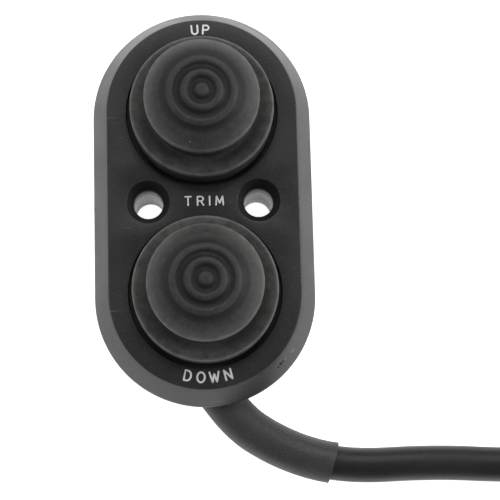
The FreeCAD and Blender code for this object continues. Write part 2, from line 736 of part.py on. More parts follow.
# Case screws: four, driven from the back through the posts into the bezel's bosses
def make_case_screws():
    screws = []
    for side in ("", "-"):
        for end in ("", "-"):
            screws.append(headed_pin(
                "case_screw%d" % len(screws), side + SCREW_ACROSS, end + "screw_along",
                "screw_sink - screw_head_depth",
                BEZEL_FOOT + " + screw_bite - screw_sink + screw_head_depth",
                "screw_shank", "screw_sink - screw_head_depth", "screw_head_depth",
                "screw_head"))
    return group("case_screws", screws)


# Cable clamp: a flat bar with rounded ends, screwed down across the sheath
def make_cable_clamp():
    piece = body("cable_clamp")
    bar = sketch(piece, "clamp_bar", height=CLAMP_FOOT)
    inner = "clamp_inset + clamp_width / 2"
    outer = "clamp_inset - clamp_width / 2"
    outline(bar, [along_lead(inner, "clamp_screw_across"),
                  along_lead(inner, "-clamp_screw_across"),
                  along_lead(outer, "-clamp_screw_across"),
                  along_lead(outer, "clamp_screw_across")])
    pad(piece, bar, "clamp_thickness")
    for number, across in enumerate(("clamp_screw_across", "-clamp_screw_across")):
        tip = sketch(piece, "clamp_end%d" % number, height=CLAMP_FOOT)
        circle(tip, *along_lead("clamp_inset", across), "clamp_width / 2")
        pad(piece, tip, "clamp_thickness")
    holes = sketch(piece, "clamp_holes", height=CLAMP_FOOT)
    for across in ("clamp_screw_across", "-clamp_screw_across"):
        circle(holes, *along_lead("clamp_inset", across), "clamp_screw_radius + fit_gap")
    pocket(piece, holes, "clamp_thickness", True)
    sinks = sketch(piece, "clamp_sinks", height=CLAMP_FOOT + " + clamp_thickness")
    for across in ("clamp_screw_across", "-clamp_screw_across"):
        circle(sinks, *along_lead("clamp_inset", across), "clamp_head + fit_gap")
    pocket(piece, sinks, "clamp_head_height")
    return piece


def make_clamp_screws():
    screws = []
    for across in ("clamp_screw_across", "-clamp_screw_across"):
        place = along_lead("clamp_inset", across)
        screws.append(headed_pin(
            "clamp_screw%d" % len(screws), *place, "case_floor + free_gap",
            CLAMP_FOOT + " + clamp_thickness - case_floor - free_gap", "clamp_screw_radius",
            CLAMP_FOOT + " + clamp_thickness - clamp_head_height", "clamp_head_height",
            "clamp_head"))
    return group("clamp_screws", screws)


TRIM_SHARE = 0.45                 # of a straight run that each of its bends may take


def rounded_route(points):
    """Straight runs joined by tangent arcs, each as large as its two runs allow."""
    spots = [Vector(*point) for point in points]
    edges = []
    radii = []
    start = spots[0]
    for before, corner, after in zip(spots, spots[1:], spots[2:]):
        back = (before - corner).normalize()
        ahead = (after - corner).normalize()
        half_turn = (math.pi - back.getAngle(ahead)) / 2
        trim = TRIM_SHARE * min((before - corner).Length, (after - corner).Length)
        radius = trim / math.tan(half_turn)
        radii.append(radius)
        middle = (back + ahead).normalize()
        centre = corner + middle * (radius / math.cos(half_turn))
        edges.append(Part.LineSegment(start, corner + back * trim).toShape())
        edges.append(Part.Arc(corner + back * trim, centre - middle * radius,
                              corner + ahead * trim).toShape())
        start = corner + ahead * trim
    edges.append(Part.LineSegment(start, spots[-1]).toShape())
    return edges, radii


def stretch(edges, begin, end):
    """The part of a route between two lengths along it."""
    kept = []
    travelled = 0.0
    for edge in edges:
        low = max(begin - travelled, 0.0)
        high = min(end - travelled, edge.Length)
        travelled += edge.Length
        if high - low > CLOSE:
            kept.append(edge.Curve.toShape(edge.getParameterByLength(low),
                                           edge.getParameterByLength(high)))
    return kept


def tube(edges, radius):
    path = Part.Wire(edges)
    heading = edges[0].tangentAt(edges[0].FirstParameter)
    ring = Part.Wire(Part.Circle(edges[0].valueAt(edges[0].FirstParameter),
                                 heading, radius).toShape())
    return path.makePipeShell([ring], True, False)


def shaped(label, shape):
    piece = doc.addObject("Part::Feature", label)
    piece.Label = label
    piece.Shape = shape
    return piece


def report_route(label, edges, radii, radius, shape):
    length = sum(edge.Length for edge in edges)
    print("%s length %.1f radii %s volume ratio %.4f" % (
        label, length, " ".join("%.1f" % value for value in radii),
        shape.Volume / (length * math.pi * radius ** 2)))


# The lead, from the clamp to the coil, as chosen points in millimetres
CABLE_ROUTE = [
    (-2.1, -30.3, 5.5), (4.0, -41.8, 5.5), (15.0, -49.2, 4.3), (27.5, -52.9, 4.1),
    (46.0, -52.2, 3.5), (62.0, -53.4, 3.6), (76.5, -52.8, 4.5), (89.0, -52.8, 4.5),
]
# The end of the coil's last turn, and the tail that lies beside the coil
LEAVING_ROUTE = [(116.0, -52.8, 11.5), (132.0, -52.8, 11.5), (145.0, -52.0, 9.0)]
TAIL_ROUTE = [(145.05, -52.0, 8.99), (159.8, -51.09, 6.15), (173.0, -44.5, 3.7),
              (181.5, -32.0, 3.5), (185.0, -17.5, 3.5)]
# The three cores inside the case, from the sheath's end to their contacts
INNER_ROUTES = {
    "common_lead": [(-3.62, -31.07, 5.5), (-5.5, -27.54, 5.5), (-4.8, -22.6, 5.2)],
    "up_lead": [(-2.12, -30.26, 5.5), (-4.1, -26.53, 5.5), (2.65, -22.2, 4.75),
                (2.65, -13.4, 4.7), (4.8, -9.2, 5.3)],
    "down_lead": [(-0.62, -29.46, 5.5), (-1.75, -27.33, 5.5), (1.4, -26.6, 5.2),
                  (4.8, -26.0, 5.0), (4.8, -23.1, 5.3)],
}
# The three cores that leave the sheath at the free end
TAIL_CORE_ROUTES = {
    "common_tail_lead": [(183.8, -16.9, 4.2), (185.4, -9.0, 3.2), (183.2, 0.0, 1.0),
                         (184.0, 10.5, 1.9), (182.4, 20.0, 1.9)],
    "up_tail_lead": [(185.03, -17.4, 2.1), (187.0, -9.0, 1.4), (188.4, 1.0, 0.95),
                     (191.4, 10.5, 1.9), (190.8, 20.0, 1.9)],
    "down_tail_lead": [(186.35, -17.5, 4.4), (188.6, -10.0, 3.2), (193.6, -1.8, 1.0),
                       (198.6, 6.2, 1.9), (201.0, 15.0, 1.9)],
}


def make_lead():
    """The sheath and, round its first stretch, the strain-relief sleeve."""
    edges, radii = rounded_route(CABLE_ROUTE)
    radius = size("cable_radius")
    sheath = tube(edges, radius)
    report_route("cable", edges, radii, radius, sheath)
    start = Vector(*CABLE_ROUTE[0])
    turn = math.radians(size("outlet_turn"))
    wall = size("end_offset") + size("edge_radius") - size("case_inset") - size("outlet_inset")
    seat = Vector(size("outlet_across") - size("sleeve_seat") * math.sin(turn),
                  size("sleeve_seat") * math.cos(turn) - wall,
                  size("outlet_height"))
    begin = (seat - start).Length + size("free_gap")
    covered = stretch(edges, begin, begin + size("sleeve_length"))
    sleeve = tube(covered, size("sleeve_radius")).cut(tube(covered, radius))
    return [shaped("cable", sheath), shaped("cable_sleeve", sleeve)]


def make_thin_leads(routes, radius):
    pieces = []
    for label, points in routes.items():
        edges, radii = rounded_route(points)
        shape = tube(edges, radius)
        report_route(label, edges, radii, radius, shape)
        pieces.append(shaped(label, shape))
    return pieces


TURNS_WIDE = 3
TURNS_HIGH = 2


# Put-away coil: its turns lie side by side in layers, with the two ends led out
def make_coil():
    radius = size("cable_radius")
    half = TURNS_WIDE * radius
    layers = TURNS_HIGH * 2 * radius
    inner = size("coil_radius") - half
    outer = size("coil_radius") + half
    centre = Vector(size("coil_across"), size("coil_along"), size("tie_thickness"))
    ring = Part.makeCylinder(outer, layers, centre).cut(
        Part.makeCylinder(inner, layers, centre))
    entry = Vector(*CABLE_ROUTE[-1])
    reach = size("coil_across") - entry.x
    ring = ring.fuse([Part.makeCylinder(radius, reach, entry, Vector(1, 0, 0)),
                      tube(rounded_route(LEAVING_ROUTE)[0], radius)])
    edges, radii = rounded_route(TAIL_ROUTE)
    tail = tube(edges, radius)
    report_route("cable_tail", edges, radii, radius, tail)
    return [shaped("cable_coil", ring.removeSplitter()), shaped("cable_tail", tail)]


TIE_ANGLES = (35.0, 155.0)        # degrees round the coil


# Coil ties: two flat straps round the coil's turns
def make_coil_ties():
    wall = size("tie_thickness")
    width = size("tie_width")
    half = TURNS_WIDE * size("cable_radius")
    layers = TURNS_HIGH * 2 * size("cable_radius")
    play = size("free_gap")
    snug = size("fit_gap")
    ties = []
    for angle in TIE_ANGLES:
        outer = Part.makeBox(2 * half + 2 * wall, width, layers + 2 * wall,
                             Vector(size("coil_radius") - half - wall, -width / 2, 0))
        inner = Part.makeBox(2 * half + 2 * play, width, layers + 2 * snug,
                             Vector(size("coil_radius") - half - play, -width / 2, wall - snug))
        strap = outer.cut(inner)
        strap.rotate(Vector(), Vector(0, 0, 1), angle)
        strap.translate(Vector(size("coil_across"), size("coil_along"), 0))
        ties.append(strap)
    return shaped("coil_ties", Part.makeCompound(ties))


# Tail terminals: an insulated bullet on each core
def make_tail_terminals():
    terminals = []
    for points in TAIL_CORE_ROUTES.values():
        last = Vector(*points[-1])
        way = last - Vector(*points[-2])
        way.z = 0
        terminals.append(Part.makeCylinder(size("terminal_radius"), size("terminal_length"),
                                           last, way))
    return shaped("tail_terminals", Part.makeCompound(terminals))


pieces = [
    make_front_bezel(),
    make_rear_case(),
    make_case_seal(),
    make_case_screws(),
    make_boot_retainer(),
    make_contact_base(),
    make_contact_rivets(),
    make_cable_clamp(),
    make_clamp_screws(),
    make_coil_ties(),
    make_tail_terminals(),
]
pieces += make_strips()
pieces += make_lead()
pieces += make_coil()
pieces += make_thin_leads(INNER_ROUTES, size("core_radius"))
pieces += make_thin_leads(TAIL_CORE_ROUTES, size("tail_core_radius"))
for end, offset in (("up", BUTTON_OFFSET), ("down", "-" + BUTTON_OFFSET)):
    pieces.append(make_boot_skirt(end + "_boot_skirt", offset))
    pieces.append(make_button_pad(end + "_button_pad", offset))
    pieces.append(make_plunger(end + "_plunger", offset))
    pieces.append(make_plunger_clip(end + "_plunger_clip", offset))
    pieces.append(make_return_spring(end + "_return_spring", offset))
    pieces.append(make_contact_bridge(end + "_contact_bridge", offset))
doc.recompute()

faults = []
for thing in doc.Objects:
    if "Invalid" in thing.State or "Error" in thing.State:
        faults.append("%s is %s" % (thing.Name, thing.State))
for piece in pieces:
    if piece.Shape.isNull() or not piece.Shape.isValid():
        faults.append("%s has no valid shape" % piece.Label)
if faults:
    raise RuntimeError("; ".join(faults))

os.makedirs("parts", exist_ok=True)
for piece in pieces:
    piece.Shape.exportStep("parts/%s.step" % piece.Label)
    print("%-22s solids %d volume %.1f" % (piece.Label, len(piece.Shape.Solids),
                                           piece.Shape.Volume))
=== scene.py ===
import bmesh
import bpy
import math
from mathutils import Matrix, Vector


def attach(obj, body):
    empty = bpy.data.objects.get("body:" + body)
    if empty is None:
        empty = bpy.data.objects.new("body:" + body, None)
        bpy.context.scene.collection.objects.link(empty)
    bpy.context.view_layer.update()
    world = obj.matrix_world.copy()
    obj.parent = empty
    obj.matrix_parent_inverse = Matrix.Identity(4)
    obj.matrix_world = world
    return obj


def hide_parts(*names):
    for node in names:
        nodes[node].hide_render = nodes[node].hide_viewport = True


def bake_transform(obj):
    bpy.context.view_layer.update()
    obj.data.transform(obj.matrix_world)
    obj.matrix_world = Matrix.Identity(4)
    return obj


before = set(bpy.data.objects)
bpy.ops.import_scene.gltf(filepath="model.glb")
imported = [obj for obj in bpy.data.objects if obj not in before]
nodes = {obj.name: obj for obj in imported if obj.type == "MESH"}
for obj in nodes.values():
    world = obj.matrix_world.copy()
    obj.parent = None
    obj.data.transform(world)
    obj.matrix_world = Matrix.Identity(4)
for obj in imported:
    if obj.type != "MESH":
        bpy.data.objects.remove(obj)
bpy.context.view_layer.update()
MM = 0.001


# Rear case: the back shell of the control, injection moulded in black ABS, with two mounting
# tubes, four screw posts and the lead's outlet at its lower end. It lies flat on the panel.
SOCKETS = {"Value": "NodeSocketFloat", "Vector": "NodeSocketVector",
           "Geometry": "NodeSocketGeometry", "Material": "NodeSocketMaterial"}
MERGE_REACH = 0.002
SHARP_ANGLE = 32.0
CASE_EDGE = 0.15
CASE_EDGE_ANGLE = 34.0
SPOT_GRAIN = 2200.0
SPOT_RAGGED = 1.1
SPOT_EDGE = (1.35, 1.05)
RUB_SPOTS = [((16.9, -29.9, 13.9), 1.0), ((15.7, -31.8, 14.6), 0.5), ((17.6, -28.6, 13.8), 0.6)]
NICK_SPOTS = [((14.6, -32.75, 14.65), 0.6), ((15.1, -32.2, 14.6), 0.4),
              ((14.2, -33.3, 14.5), 0.4), ((-22.15, -0.3, 11.5), 0.5)]


def metres(*values):
    """Lengths given in millimetres."""
    return [value * MM for value in values]


def new_group(name, inputs, outputs, kind="ShaderNodeTree"):
    """An empty node group; each input has its label, its kind and its start value."""
    tree = bpy.data.node_groups.new(name, kind)
    for label, socket_kind, start in inputs:
        socket = tree.interface.new_socket(label, in_out="INPUT",
                                           socket_type=SOCKETS[socket_kind])
        if start is not None:
            socket.default_value = start
    for label, socket_kind in outputs:
        tree.interface.new_socket(label, in_out="OUTPUT", socket_type=SOCKETS[socket_kind])
    given = tree.nodes.new("NodeGroupInput").outputs
    return tree, given, tree.nodes.new("NodeGroupOutput").inputs


def node_in(tree, kind, **settings):
    """A node with its own settings and inputs set, or linked where a socket is given."""
    node = tree.nodes.new(kind)
    for key, value in settings.items():
        if hasattr(node, key):
            setattr(node, key, value)
            continue
        socket = node.inputs[key.replace("_", " ").strip()]
        for item in value if isinstance(value, list) else [value]:
            if isinstance(item, bpy.types.NodeSocket):
                tree.links.new(item, socket)
            else:
                socket.default_value = item
    return node


def math_in(tree, operation, first, second=None, clamp=False):
    node = tree.nodes.new("ShaderNodeMath")
    node.operation = operation
    node.use_clamp = clamp
    for socket, value in zip(node.inputs, (first, second)):
        if isinstance(value, (int, float)):
            socket.default_value = value
        elif value is not None:
            tree.links.new(value, socket)
    return node.outputs[0]


def times(tree, product, *others):
    for other in others:
        product = math_in(tree, "MULTIPLY", product, other)
    return product


def noise_in(tree, place, scale, detail, roughness=0.5):
    return node_in(tree, "ShaderNodeTexNoise", Vector=place, Scale=scale, Detail=detail,
                   Roughness=roughness).outputs["Fac"]


def ranged(tree, value, low, high, start=0.0, end=1.0):
    """A value eased from a start to an end, as it goes from a low level to a high one."""
    return node_in(tree, "ShaderNodeMapRange", interpolation_type="SMOOTHSTEP", Value=value,
                   From_Min=low, From_Max=high, To_Min=start, To_Max=end).outputs["Result"]


def grain_group():
    """Fine moulded grain: a height and a slow tone that drifts over the surface."""
    tree, given, result = new_group(
        "moulded_grain",
        [("Vector", "Vector", None), ("Grain", "Value", 2600.0), ("Drift", "Value", 90.0)],
        [("Height", "Value"), ("Tone", "Value")])
    tree.links.new(noise_in(tree, given["Vector"], given["Grain"], 3.0, 0.6), result["Height"])
    tree.links.new(noise_in(tree, given["Vector"], given["Drift"], 4.0, 0.55), result["Tone"])
    return tree


def mask_group(name, label, kind, start):
    """A group that puts out a mask, from a place, one size of its own and an amount."""
    return new_group(name, [("Vector", "Vector", None), (label, kind, start),
                            ("Amount", "Value", 0.5)], [("Mask", "Value")])


def dust_group():
    """Fine pale dust: specks of a few sizes, gathered by a slow mask."""
    tree, given, result = mask_group("settled_dust", "Speck", "Value", 5200.0)
    specks = ranged(tree, noise_in(tree, given["Vector"], given["Speck"], 2.0, 0.7), 0.5, 0.78)
    patches = ranged(tree, noise_in(tree, given["Vector"], 160.0, 3.0), 0.3, 0.7, 0.35, 1.0)
    mask = math_in(tree, "MULTIPLY", times(tree, specks, patches), given["Amount"], True)
    tree.links.new(mask, result["Mask"])
    return tree


def scuff_group():
    """Short pale rub marks: stretched noise that only shows at its peaks."""
    tree, given, result = mask_group("rub_marks", "Stretch", "Vector", (60.0, 900.0, 500.0))
    drawn = node_in(tree, "ShaderNodeMapping", Vector=given["Vector"], Scale=given["Stretch"])
    marks = ranged(tree, noise_in(tree, drawn.outputs["Vector"], 1.0, 4.0, 0.7), 0.6, 0.74)
    patches = ranged(tree, noise_in(tree, given["Vector"], 70.0, 2.0), 0.5, 0.68)
    mask = math_in(tree, "MULTIPLY", times(tree, marks, patches), given["Amount"], True)
    tree.links.new(mask, result["Mask"])
    return tree


GRAIN = grain_group()
DUST = dust_group()
SCUFF = scuff_group()


def blended(tree, mask, first, second):
    """A colour that goes from the first to the second by a mask."""
    mix = tree.nodes.new("ShaderNodeMix")
    mix.data_type = "RGBA"
    tree.links.new(mask, mix.inputs[0])
    for socket, value in ((mix.inputs[6], first), (mix.inputs[7], second)):
        if isinstance(value, bpy.types.NodeSocket):
            tree.links.new(value, socket)
        else:
            socket.default_value = value
    return mix.outputs[2]


def grey(value, warm=0.0):
    return (value * (1 + warm), value, value * (1 - warm), 1.0)


def moulded(name, dark, light, rough, grain=2600.0, bump=0.05, dust=0.0, dust_tone=0.3,
            speck=5200.0, scuff=0.0, stretch=(60.0, 900.0, 500.0), specular=0.5, metallic=0.0,
            rough_span=0.08, drift=90.0):
    """A surface with grain, slow tone changes and, where asked, dust and rub marks."""
    material = bpy.data.materials.new(name)
    material.use_nodes = True
    tree = material.node_tree
    shader = tree.nodes["Principled BSDF"].inputs
    shader["Specular IOR Level"].default_value = specular
    shader["Metallic"].default_value = metallic
    place = tree.nodes.new("ShaderNodeTexCoord").outputs["Object"]
    grains = node_in(tree, "ShaderNodeGroup", node_tree=GRAIN, Vector=place, Grain=grain,
                     Drift=drift).outputs
    colour = blended(tree, ranged(tree, grains["Tone"], 0.3, 0.7), dark, light)
    roughness = ranged(tree, grains["Tone"], 0.25, 0.75, rough - rough_span, rough + rough_span)
    if dust:
        specks = node_in(tree, "ShaderNodeGroup", node_tree=DUST, Vector=place, Speck=speck,
                         Amount=dust).outputs["Mask"]
        colour = blended(tree, specks, colour, grey(dust_tone, 0.02))
    if scuff:
        marks = node_in(tree, "ShaderNodeGroup", node_tree=SCUFF, Vector=place,
                        Stretch=stretch, Amount=scuff).outputs["Mask"]
        colour = blended(tree, marks, colour, grey(0.3))
        roughness = math_in(tree, "ADD", roughness, times(tree, marks, 0.25), True)
    relief = node_in(tree, "ShaderNodeBump", Strength=1.0, Distance=bump * MM,
                     Height=grains["Height"])
    tree.links.new(colour, shader["Base Color"])
    tree.links.new(roughness, shader["Roughness"])
    tree.links.new(relief.outputs["Normal"], shader["Normal"])
    return material


def spotted(material, spots, tone, rougher=0.0):
    """The same material with small ragged spots, each a centre and a radius in millimetres."""
    tree = material.node_tree
    shader = tree.nodes["Principled BSDF"].inputs
    place = tree.nodes.new("ShaderNodeTexCoord").outputs["Object"]
    ragged = times(tree, noise_in(tree, place, SPOT_GRAIN, 2.0), SPOT_RAGGED)
    mask = 0.0
    for centre, radius in spots:
        away = node_in(tree, "ShaderNodeVectorMath", operation="DISTANCE")
        tree.links.new(place, away.inputs[0])
        away.inputs[1].default_value = metres(*centre)
        share = times(tree, away.outputs["Value"], 1 / (radius * MM))
        near = ranged(tree, math_in(tree, "ADD", share, ragged), *SPOT_EDGE)
        mask = math_in(tree, "MAXIMUM", mask, near)
    base = shader["Base Color"].links[0].from_socket
    tree.links.new(blended(tree, mask, base, tone), shader["Base Color"])
    if rougher:
        rough = shader["Roughness"].links[0].from_socket
        added = times(tree, mask, rougher)
        tree.links.new(math_in(tree, "ADD", rough, added, True), shader["Roughness"])
    return material


def add_object(name, data):
    item = bpy.data.objects.new(name, data)
    bpy.context.scene.collection.objects.link(item)
    return item


def coated(name, mesh, material):
    """A finished mesh in one material, as an object."""
    mesh.materials.clear()
    mesh.materials.append(material)
    return add_object(name, mesh)


def mounted(piece, slot, *replaced):
    """The piece stays on the case, in place of its nodes; its slot is not used."""
    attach(piece, "root")
    if replaced:
        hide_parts(*replaced)
    return piece


def smoothed(shape, mesh, angle):
    """The shape as a mesh, smooth apart from edges sharper than an angle in degrees."""
    for face in shape.faces:
        face.smooth = True
    shape.to_mesh(mesh)
    shape.free()
    mesh.set_sharp_from_angle(angle=math.radians(angle))
    return mesh


def merged_copy(node):
    """A node's own form with its seams joined and its round faces smooth."""
    mesh = nodes[node].data.copy()
    shape = bmesh.new()
    shape.from_mesh(mesh)
    bmesh.ops.remove_doubles(shape, verts=shape.verts, dist=MERGE_REACH * MM)
    bmesh.ops.dissolve_degenerate(shape, edges=shape.edges, dist=MERGE_REACH / 2 * MM)
    return smoothed(shape, mesh, SHARP_ANGLE)


def with_fine_edges(piece):
    """The moulding's edges, rounded a little as a mould leaves them."""
    bevel = piece.modifiers.new("fine_edges", "BEVEL")
    bevel.width = CASE_EDGE * MM
    bevel.segments = 2
    bevel.limit_method = "ANGLE"
    bevel.angle_limit = math.radians(CASE_EDGE_ANGLE)
    bevel.harden_normals = True
    return piece


HOUSING = moulded("satin_black_moulding", grey(0.020), grey(0.027), 0.36, grain=2400.0,
                  bump=0.02, dust=0.3, dust_tone=0.13, speck=2600.0, scuff=0.35,
                  specular=0.34)
spotted(HOUSING, RUB_SPOTS, grey(0.07))
spotted(HOUSING, NICK_SPOTS, grey(0.003), rougher=0.6)
case_shell = coated("rear_case_shell", merged_copy("rear_case"), HOUSING)
mounted(with_fine_edges(case_shell), "housing", "rear_case")


# Contact base, strips and rivets: a brown laminate block that carries the fixed bronze
# contacts. It is staked to the case's floor, and the strips are riveted to it.
STRIP_ACROSS = 4.8
STRIP_TOP = 4.4
RIVET_PLACES = [(across, along, STRIP_TOP) for across, along in (
    (-STRIP_ACROSS, 9.0), (-STRIP_ACROSS, -9.0), (STRIP_ACROSS, 9.0), (STRIP_ACROSS, -6.0),
    (STRIP_ACROSS, -21.6))]
RECESS_REACH = 1.15
RECESS_BLADE = 0.24


def dressed(node, material):
    for place in nodes[node].material_slots:
        place.material = material


def height_in(tree, place):
    return node_in(tree, "ShaderNodeSeparateXYZ", Vector=place).outputs["Z"]


def radius_in(tree, place, offset=0.0):
    """The distance from an upright axis at plus or minus an offset on Y."""
    parts = node_in(tree, "ShaderNodeSeparateXYZ", Vector=place).outputs
    along = math_in(tree, "SUBTRACT", math_in(tree, "ABSOLUTE", parts["Y"]), offset)
    return math_in(tree, "SQRT", math_in(tree, "ADD", times(tree, parts["X"], parts["X"]),
                                         times(tree, along, along)))


def geometry_group(name, **sizes):
    """A tree that builds on a mesh, from named sizes and a material."""
    inputs = [("Geometry", "Geometry", None)]
    for label, start in sizes.items():
        kind = "Vector" if isinstance(start, tuple) else "Value"
        inputs.append((label.replace("_", " "), kind, start))
    return new_group(name, inputs + [("Material", "Material", None)],
                     [("Geometry", "Geometry")], "GeometryNodeTree")


def finished(tree, geometry, size, result):
    """The last steps of a tree: its copies made real, in its material."""
    solid = node_in(tree, "GeometryNodeRealizeInstances", Geometry=geometry)
    dyed = node_in(tree, "GeometryNodeSetMaterial", Geometry=solid.outputs[0],
                   Material=size["Material"])
    tree.links.new(dyed.outputs[0], result["Geometry"])
    return tree


def upright(tree, height):
    return node_in(tree, "ShaderNodeCombineXYZ", Z=height).outputs[0]


def raised(tree, geometry, height):
    return node_in(tree, "GeometryNodeTransform", Geometry=geometry,
                   Translation=upright(tree, height)).outputs[0]


def headed_pins_tree():
    """A domed head on a round shank at every point, with a cross recess if it has a depth."""
    tree, size, result = geometry_group(
        "headed_pins", Head_radius=0.001, Head_height=0.0004, Crown=0.4, Shank_radius=0.0006,
        Shank_length=0.003, Recess=0.0, Turn=(0.0, 0.0, 0.0))
    half = times(tree, size["Head height"], 0.5)
    disc = node_in(tree, "GeometryNodeMeshCylinder", Vertices=40, Side_Segments=3,
                   Fill_Segments=5, Radius=size["Head radius"], Depth=size["Head height"],
                   fill_type="TRIANGLE_FAN").outputs["Mesh"]
    place = node_in(tree, "GeometryNodeInputPosition").outputs[0]
    share = math_in(tree, "DIVIDE", radius_in(tree, place), size["Head radius"])
    fall = times(tree, share, share, size["Crown"])
    drop = times(tree, height_in(tree, place), fall, -1.0)
    head = node_in(tree, "GeometryNodeSetPosition", Geometry=raised(tree, disc, half),
                   Offset=upright(tree, drop)).outputs[0]
    shank = node_in(tree, "GeometryNodeMeshCylinder", Vertices=24, Radius=size["Shank radius"],
                    Depth=math_in(tree, "ADD", size["Shank length"], half)).outputs["Mesh"]
    sink = math_in(tree, "ADD", times(tree, size["Shank length"], -0.5), times(tree, half, 0.5))
    whole = node_in(tree, "GeometryNodeMeshBoolean", operation="UNION", solver="EXACT",
                    Mesh_2=[head, raised(tree, shank, sink)]).outputs[0]
    reach = times(tree, size["Head radius"], RECESS_REACH)
    blade = times(tree, size["Head radius"], RECESS_BLADE)
    deep = times(tree, size["Recess"], 2.0)
    slots = []
    for long_way, short_way in ((reach, blade), (blade, reach)):
        extent = node_in(tree, "ShaderNodeCombineXYZ", X=long_way, Y=short_way, Z=deep)
        cutter = node_in(tree, "GeometryNodeMeshCube", Size=extent.outputs[0])
        slots.append(raised(tree, cutter.outputs["Mesh"], size["Head height"]))
    crossed = node_in(tree, "GeometryNodeMeshBoolean", operation="DIFFERENCE", solver="EXACT",
                      Mesh_1=whole, Mesh_2=slots).outputs[0]
    chosen = node_in(tree, "GeometryNodeSwitch", Switch=size["Recess"], False_=whole,
                     True_=crossed).outputs[0]
    spread = node_in(tree, "GeometryNodeInstanceOnPoints", Points=size["Geometry"],
                     Instance=chosen, Rotation=size["Turn"]).outputs[0]
    return finished(tree, spread, size, result)


def place_points(name, places):
    """A mesh of bare points, given in millimetres, for a tree to build on."""
    mesh = bpy.data.meshes.new(name)
    mesh.from_pydata([metres(*place) for place in places], [], [])
    return mesh


def plain_mesh(holder):
    """The mesh that an object comes out as; the object itself goes."""
    mesh = bpy.data.meshes.new_from_object(holder.evaluated_get(
        bpy.context.evaluated_depsgraph_get()))
    holder.modifiers.clear()
    bpy.data.objects.remove(holder)
    return mesh


def grown(name, tree, start, values, angle=35.0):
    """The plain mesh that a tree makes from a starting mesh."""
    holder = add_object(name, start)
    modifier = holder.modifiers.new(name, "NODES")
    modifier.node_group = tree
    for item in tree.interface.items_tree:
        if item.in_out == "INPUT" and item.name in values:
            modifier[item.identifier] = values[item.name]
    mesh = plain_mesh(holder)
    for face in mesh.polygons:
        face.use_smooth = True
    mesh.set_sharp_from_angle(angle=math.radians(angle))
    return mesh


HEADED_PINS = headed_pins_tree()


def pin_set(name, places, sizes, slot, node):
    """Headed pins at their places, in place of the node that holds them."""
    mesh = grown(name + "_pins", HEADED_PINS, place_points(name + "_places", places), sizes)
    mounted(coated(name, mesh, sizes["Material"]), slot, node)


LAMINATE = moulded("brown_laminate", (0.16, 0.07, 0.03, 1), (0.22, 0.10, 0.045, 1), 0.45,
                   grain=1500.0, bump=0.03)
BRONZE = moulded("bright_bronze", (0.62, 0.42, 0.18, 1), (0.76, 0.55, 0.28, 1), 0.28,
                 grain=900.0, bump=0.01, metallic=1.0, scuff=0.3, stretch=(900, 60, 500))
RIVET_SIZES = {"Head radius": 1.0 * MM, "Head height": 0.4 * MM, "Crown": 0.55,
               "Shank radius": 0.6 * MM, "Shank length": 2.8 * MM, "Material": BRONZE}
dressed("contact_base", LAMINATE)
for strip in ("common_bus", "up_contact", "down_contact"):
    dressed(strip, BRONZE)
pin_set("strip_rivets", RIVET_PLACES, RIVET_SIZES, "contact_metal", "contact_rivets")


# Cable clamp and its screws: a stainless bar pressed down on the sheath inside the case by
# two small cross-recessed screws that sit flush in it.
STEEL = moulded("stainless_steel", (0.50, 0.50, 0.49, 1), (0.62, 0.62, 0.61, 1), 0.27,
                grain=1800.0, bump=0.012, metallic=1.0, scuff=0.25)
CLAMP_TOP = 9.6
CLAMP_SCREW_PLACES = [(3.059, -29.389, CLAMP_TOP), (-5.771, -34.084, CLAMP_TOP)]
CLAMP_SCREW_SIZES = {"Head radius": 1.0 * MM, "Head height": 0.6 * MM, "Crown": 0.15,
                     "Shank radius": 0.7 * MM, "Shank length": 7.7 * MM,
                     "Recess": 0.35 * MM, "Material": STEEL}
dressed("cable_clamp", STEEL)
pin_set("clamp_screw_pair", CLAMP_SCREW_PLACES, CLAMP_SCREW_SIZES, "steel", "clamp_screws")


# Cores inside the case: three copper leads in coloured insulation, bent by hand from the
# sheath's stripped end to the contact strips and soldered there.
CORE_TONES = {"common": ("black_core", grey(0.02), grey(0.03)),
              "up": ("blue_core", (0.02, 0.07, 0.30, 1), (0.03, 0.09, 0.36, 1)),
              "down": ("green_core", (0.02, 0.17, 0.05, 1), (0.03, 0.21, 0.07, 1))}
CORES = {}
for lead, (insulation, dark, light) in CORE_TONES.items():
    CORES[lead] = moulded(insulation, dark, light, 0.38, grain=1200.0, bump=0.015, dust=0.2,
                          dust_tone=0.35)
    dressed(lead + "_lead", CORES[lead])


# Case seal: a flat ring of soft black rubber, cut from sheet. The case screws squeeze it
# between the two shells, and only its thin outer edge shows.
SEAL = moulded("soft_seal", grey(0.012), grey(0.018), 0.7, grain=1400.0, bump=0.04)
mounted(coated("case_seal_ring", merged_copy("case_seal"), SEAL), "seal", "case_seal")


# Plungers, springs, clips and bridges: each button's moulded acetal stem slides in the
# retainer's guide. A stainless spring pushes it out, a stainless clip in its groove stops it,
# and a bronze contact bar is staked on its foot.
SIDES = {"up": 1, "down": -1}
BUTTON_OFFSET = 18.3
SPRING_RADIUS = 5.8
SPRING_WIRE = 0.4
SPRING_FOOT = 13.4
SPRING_HEAD = 28.5
SPRING_TURNS = 5.0
SPRING_END = 0.8


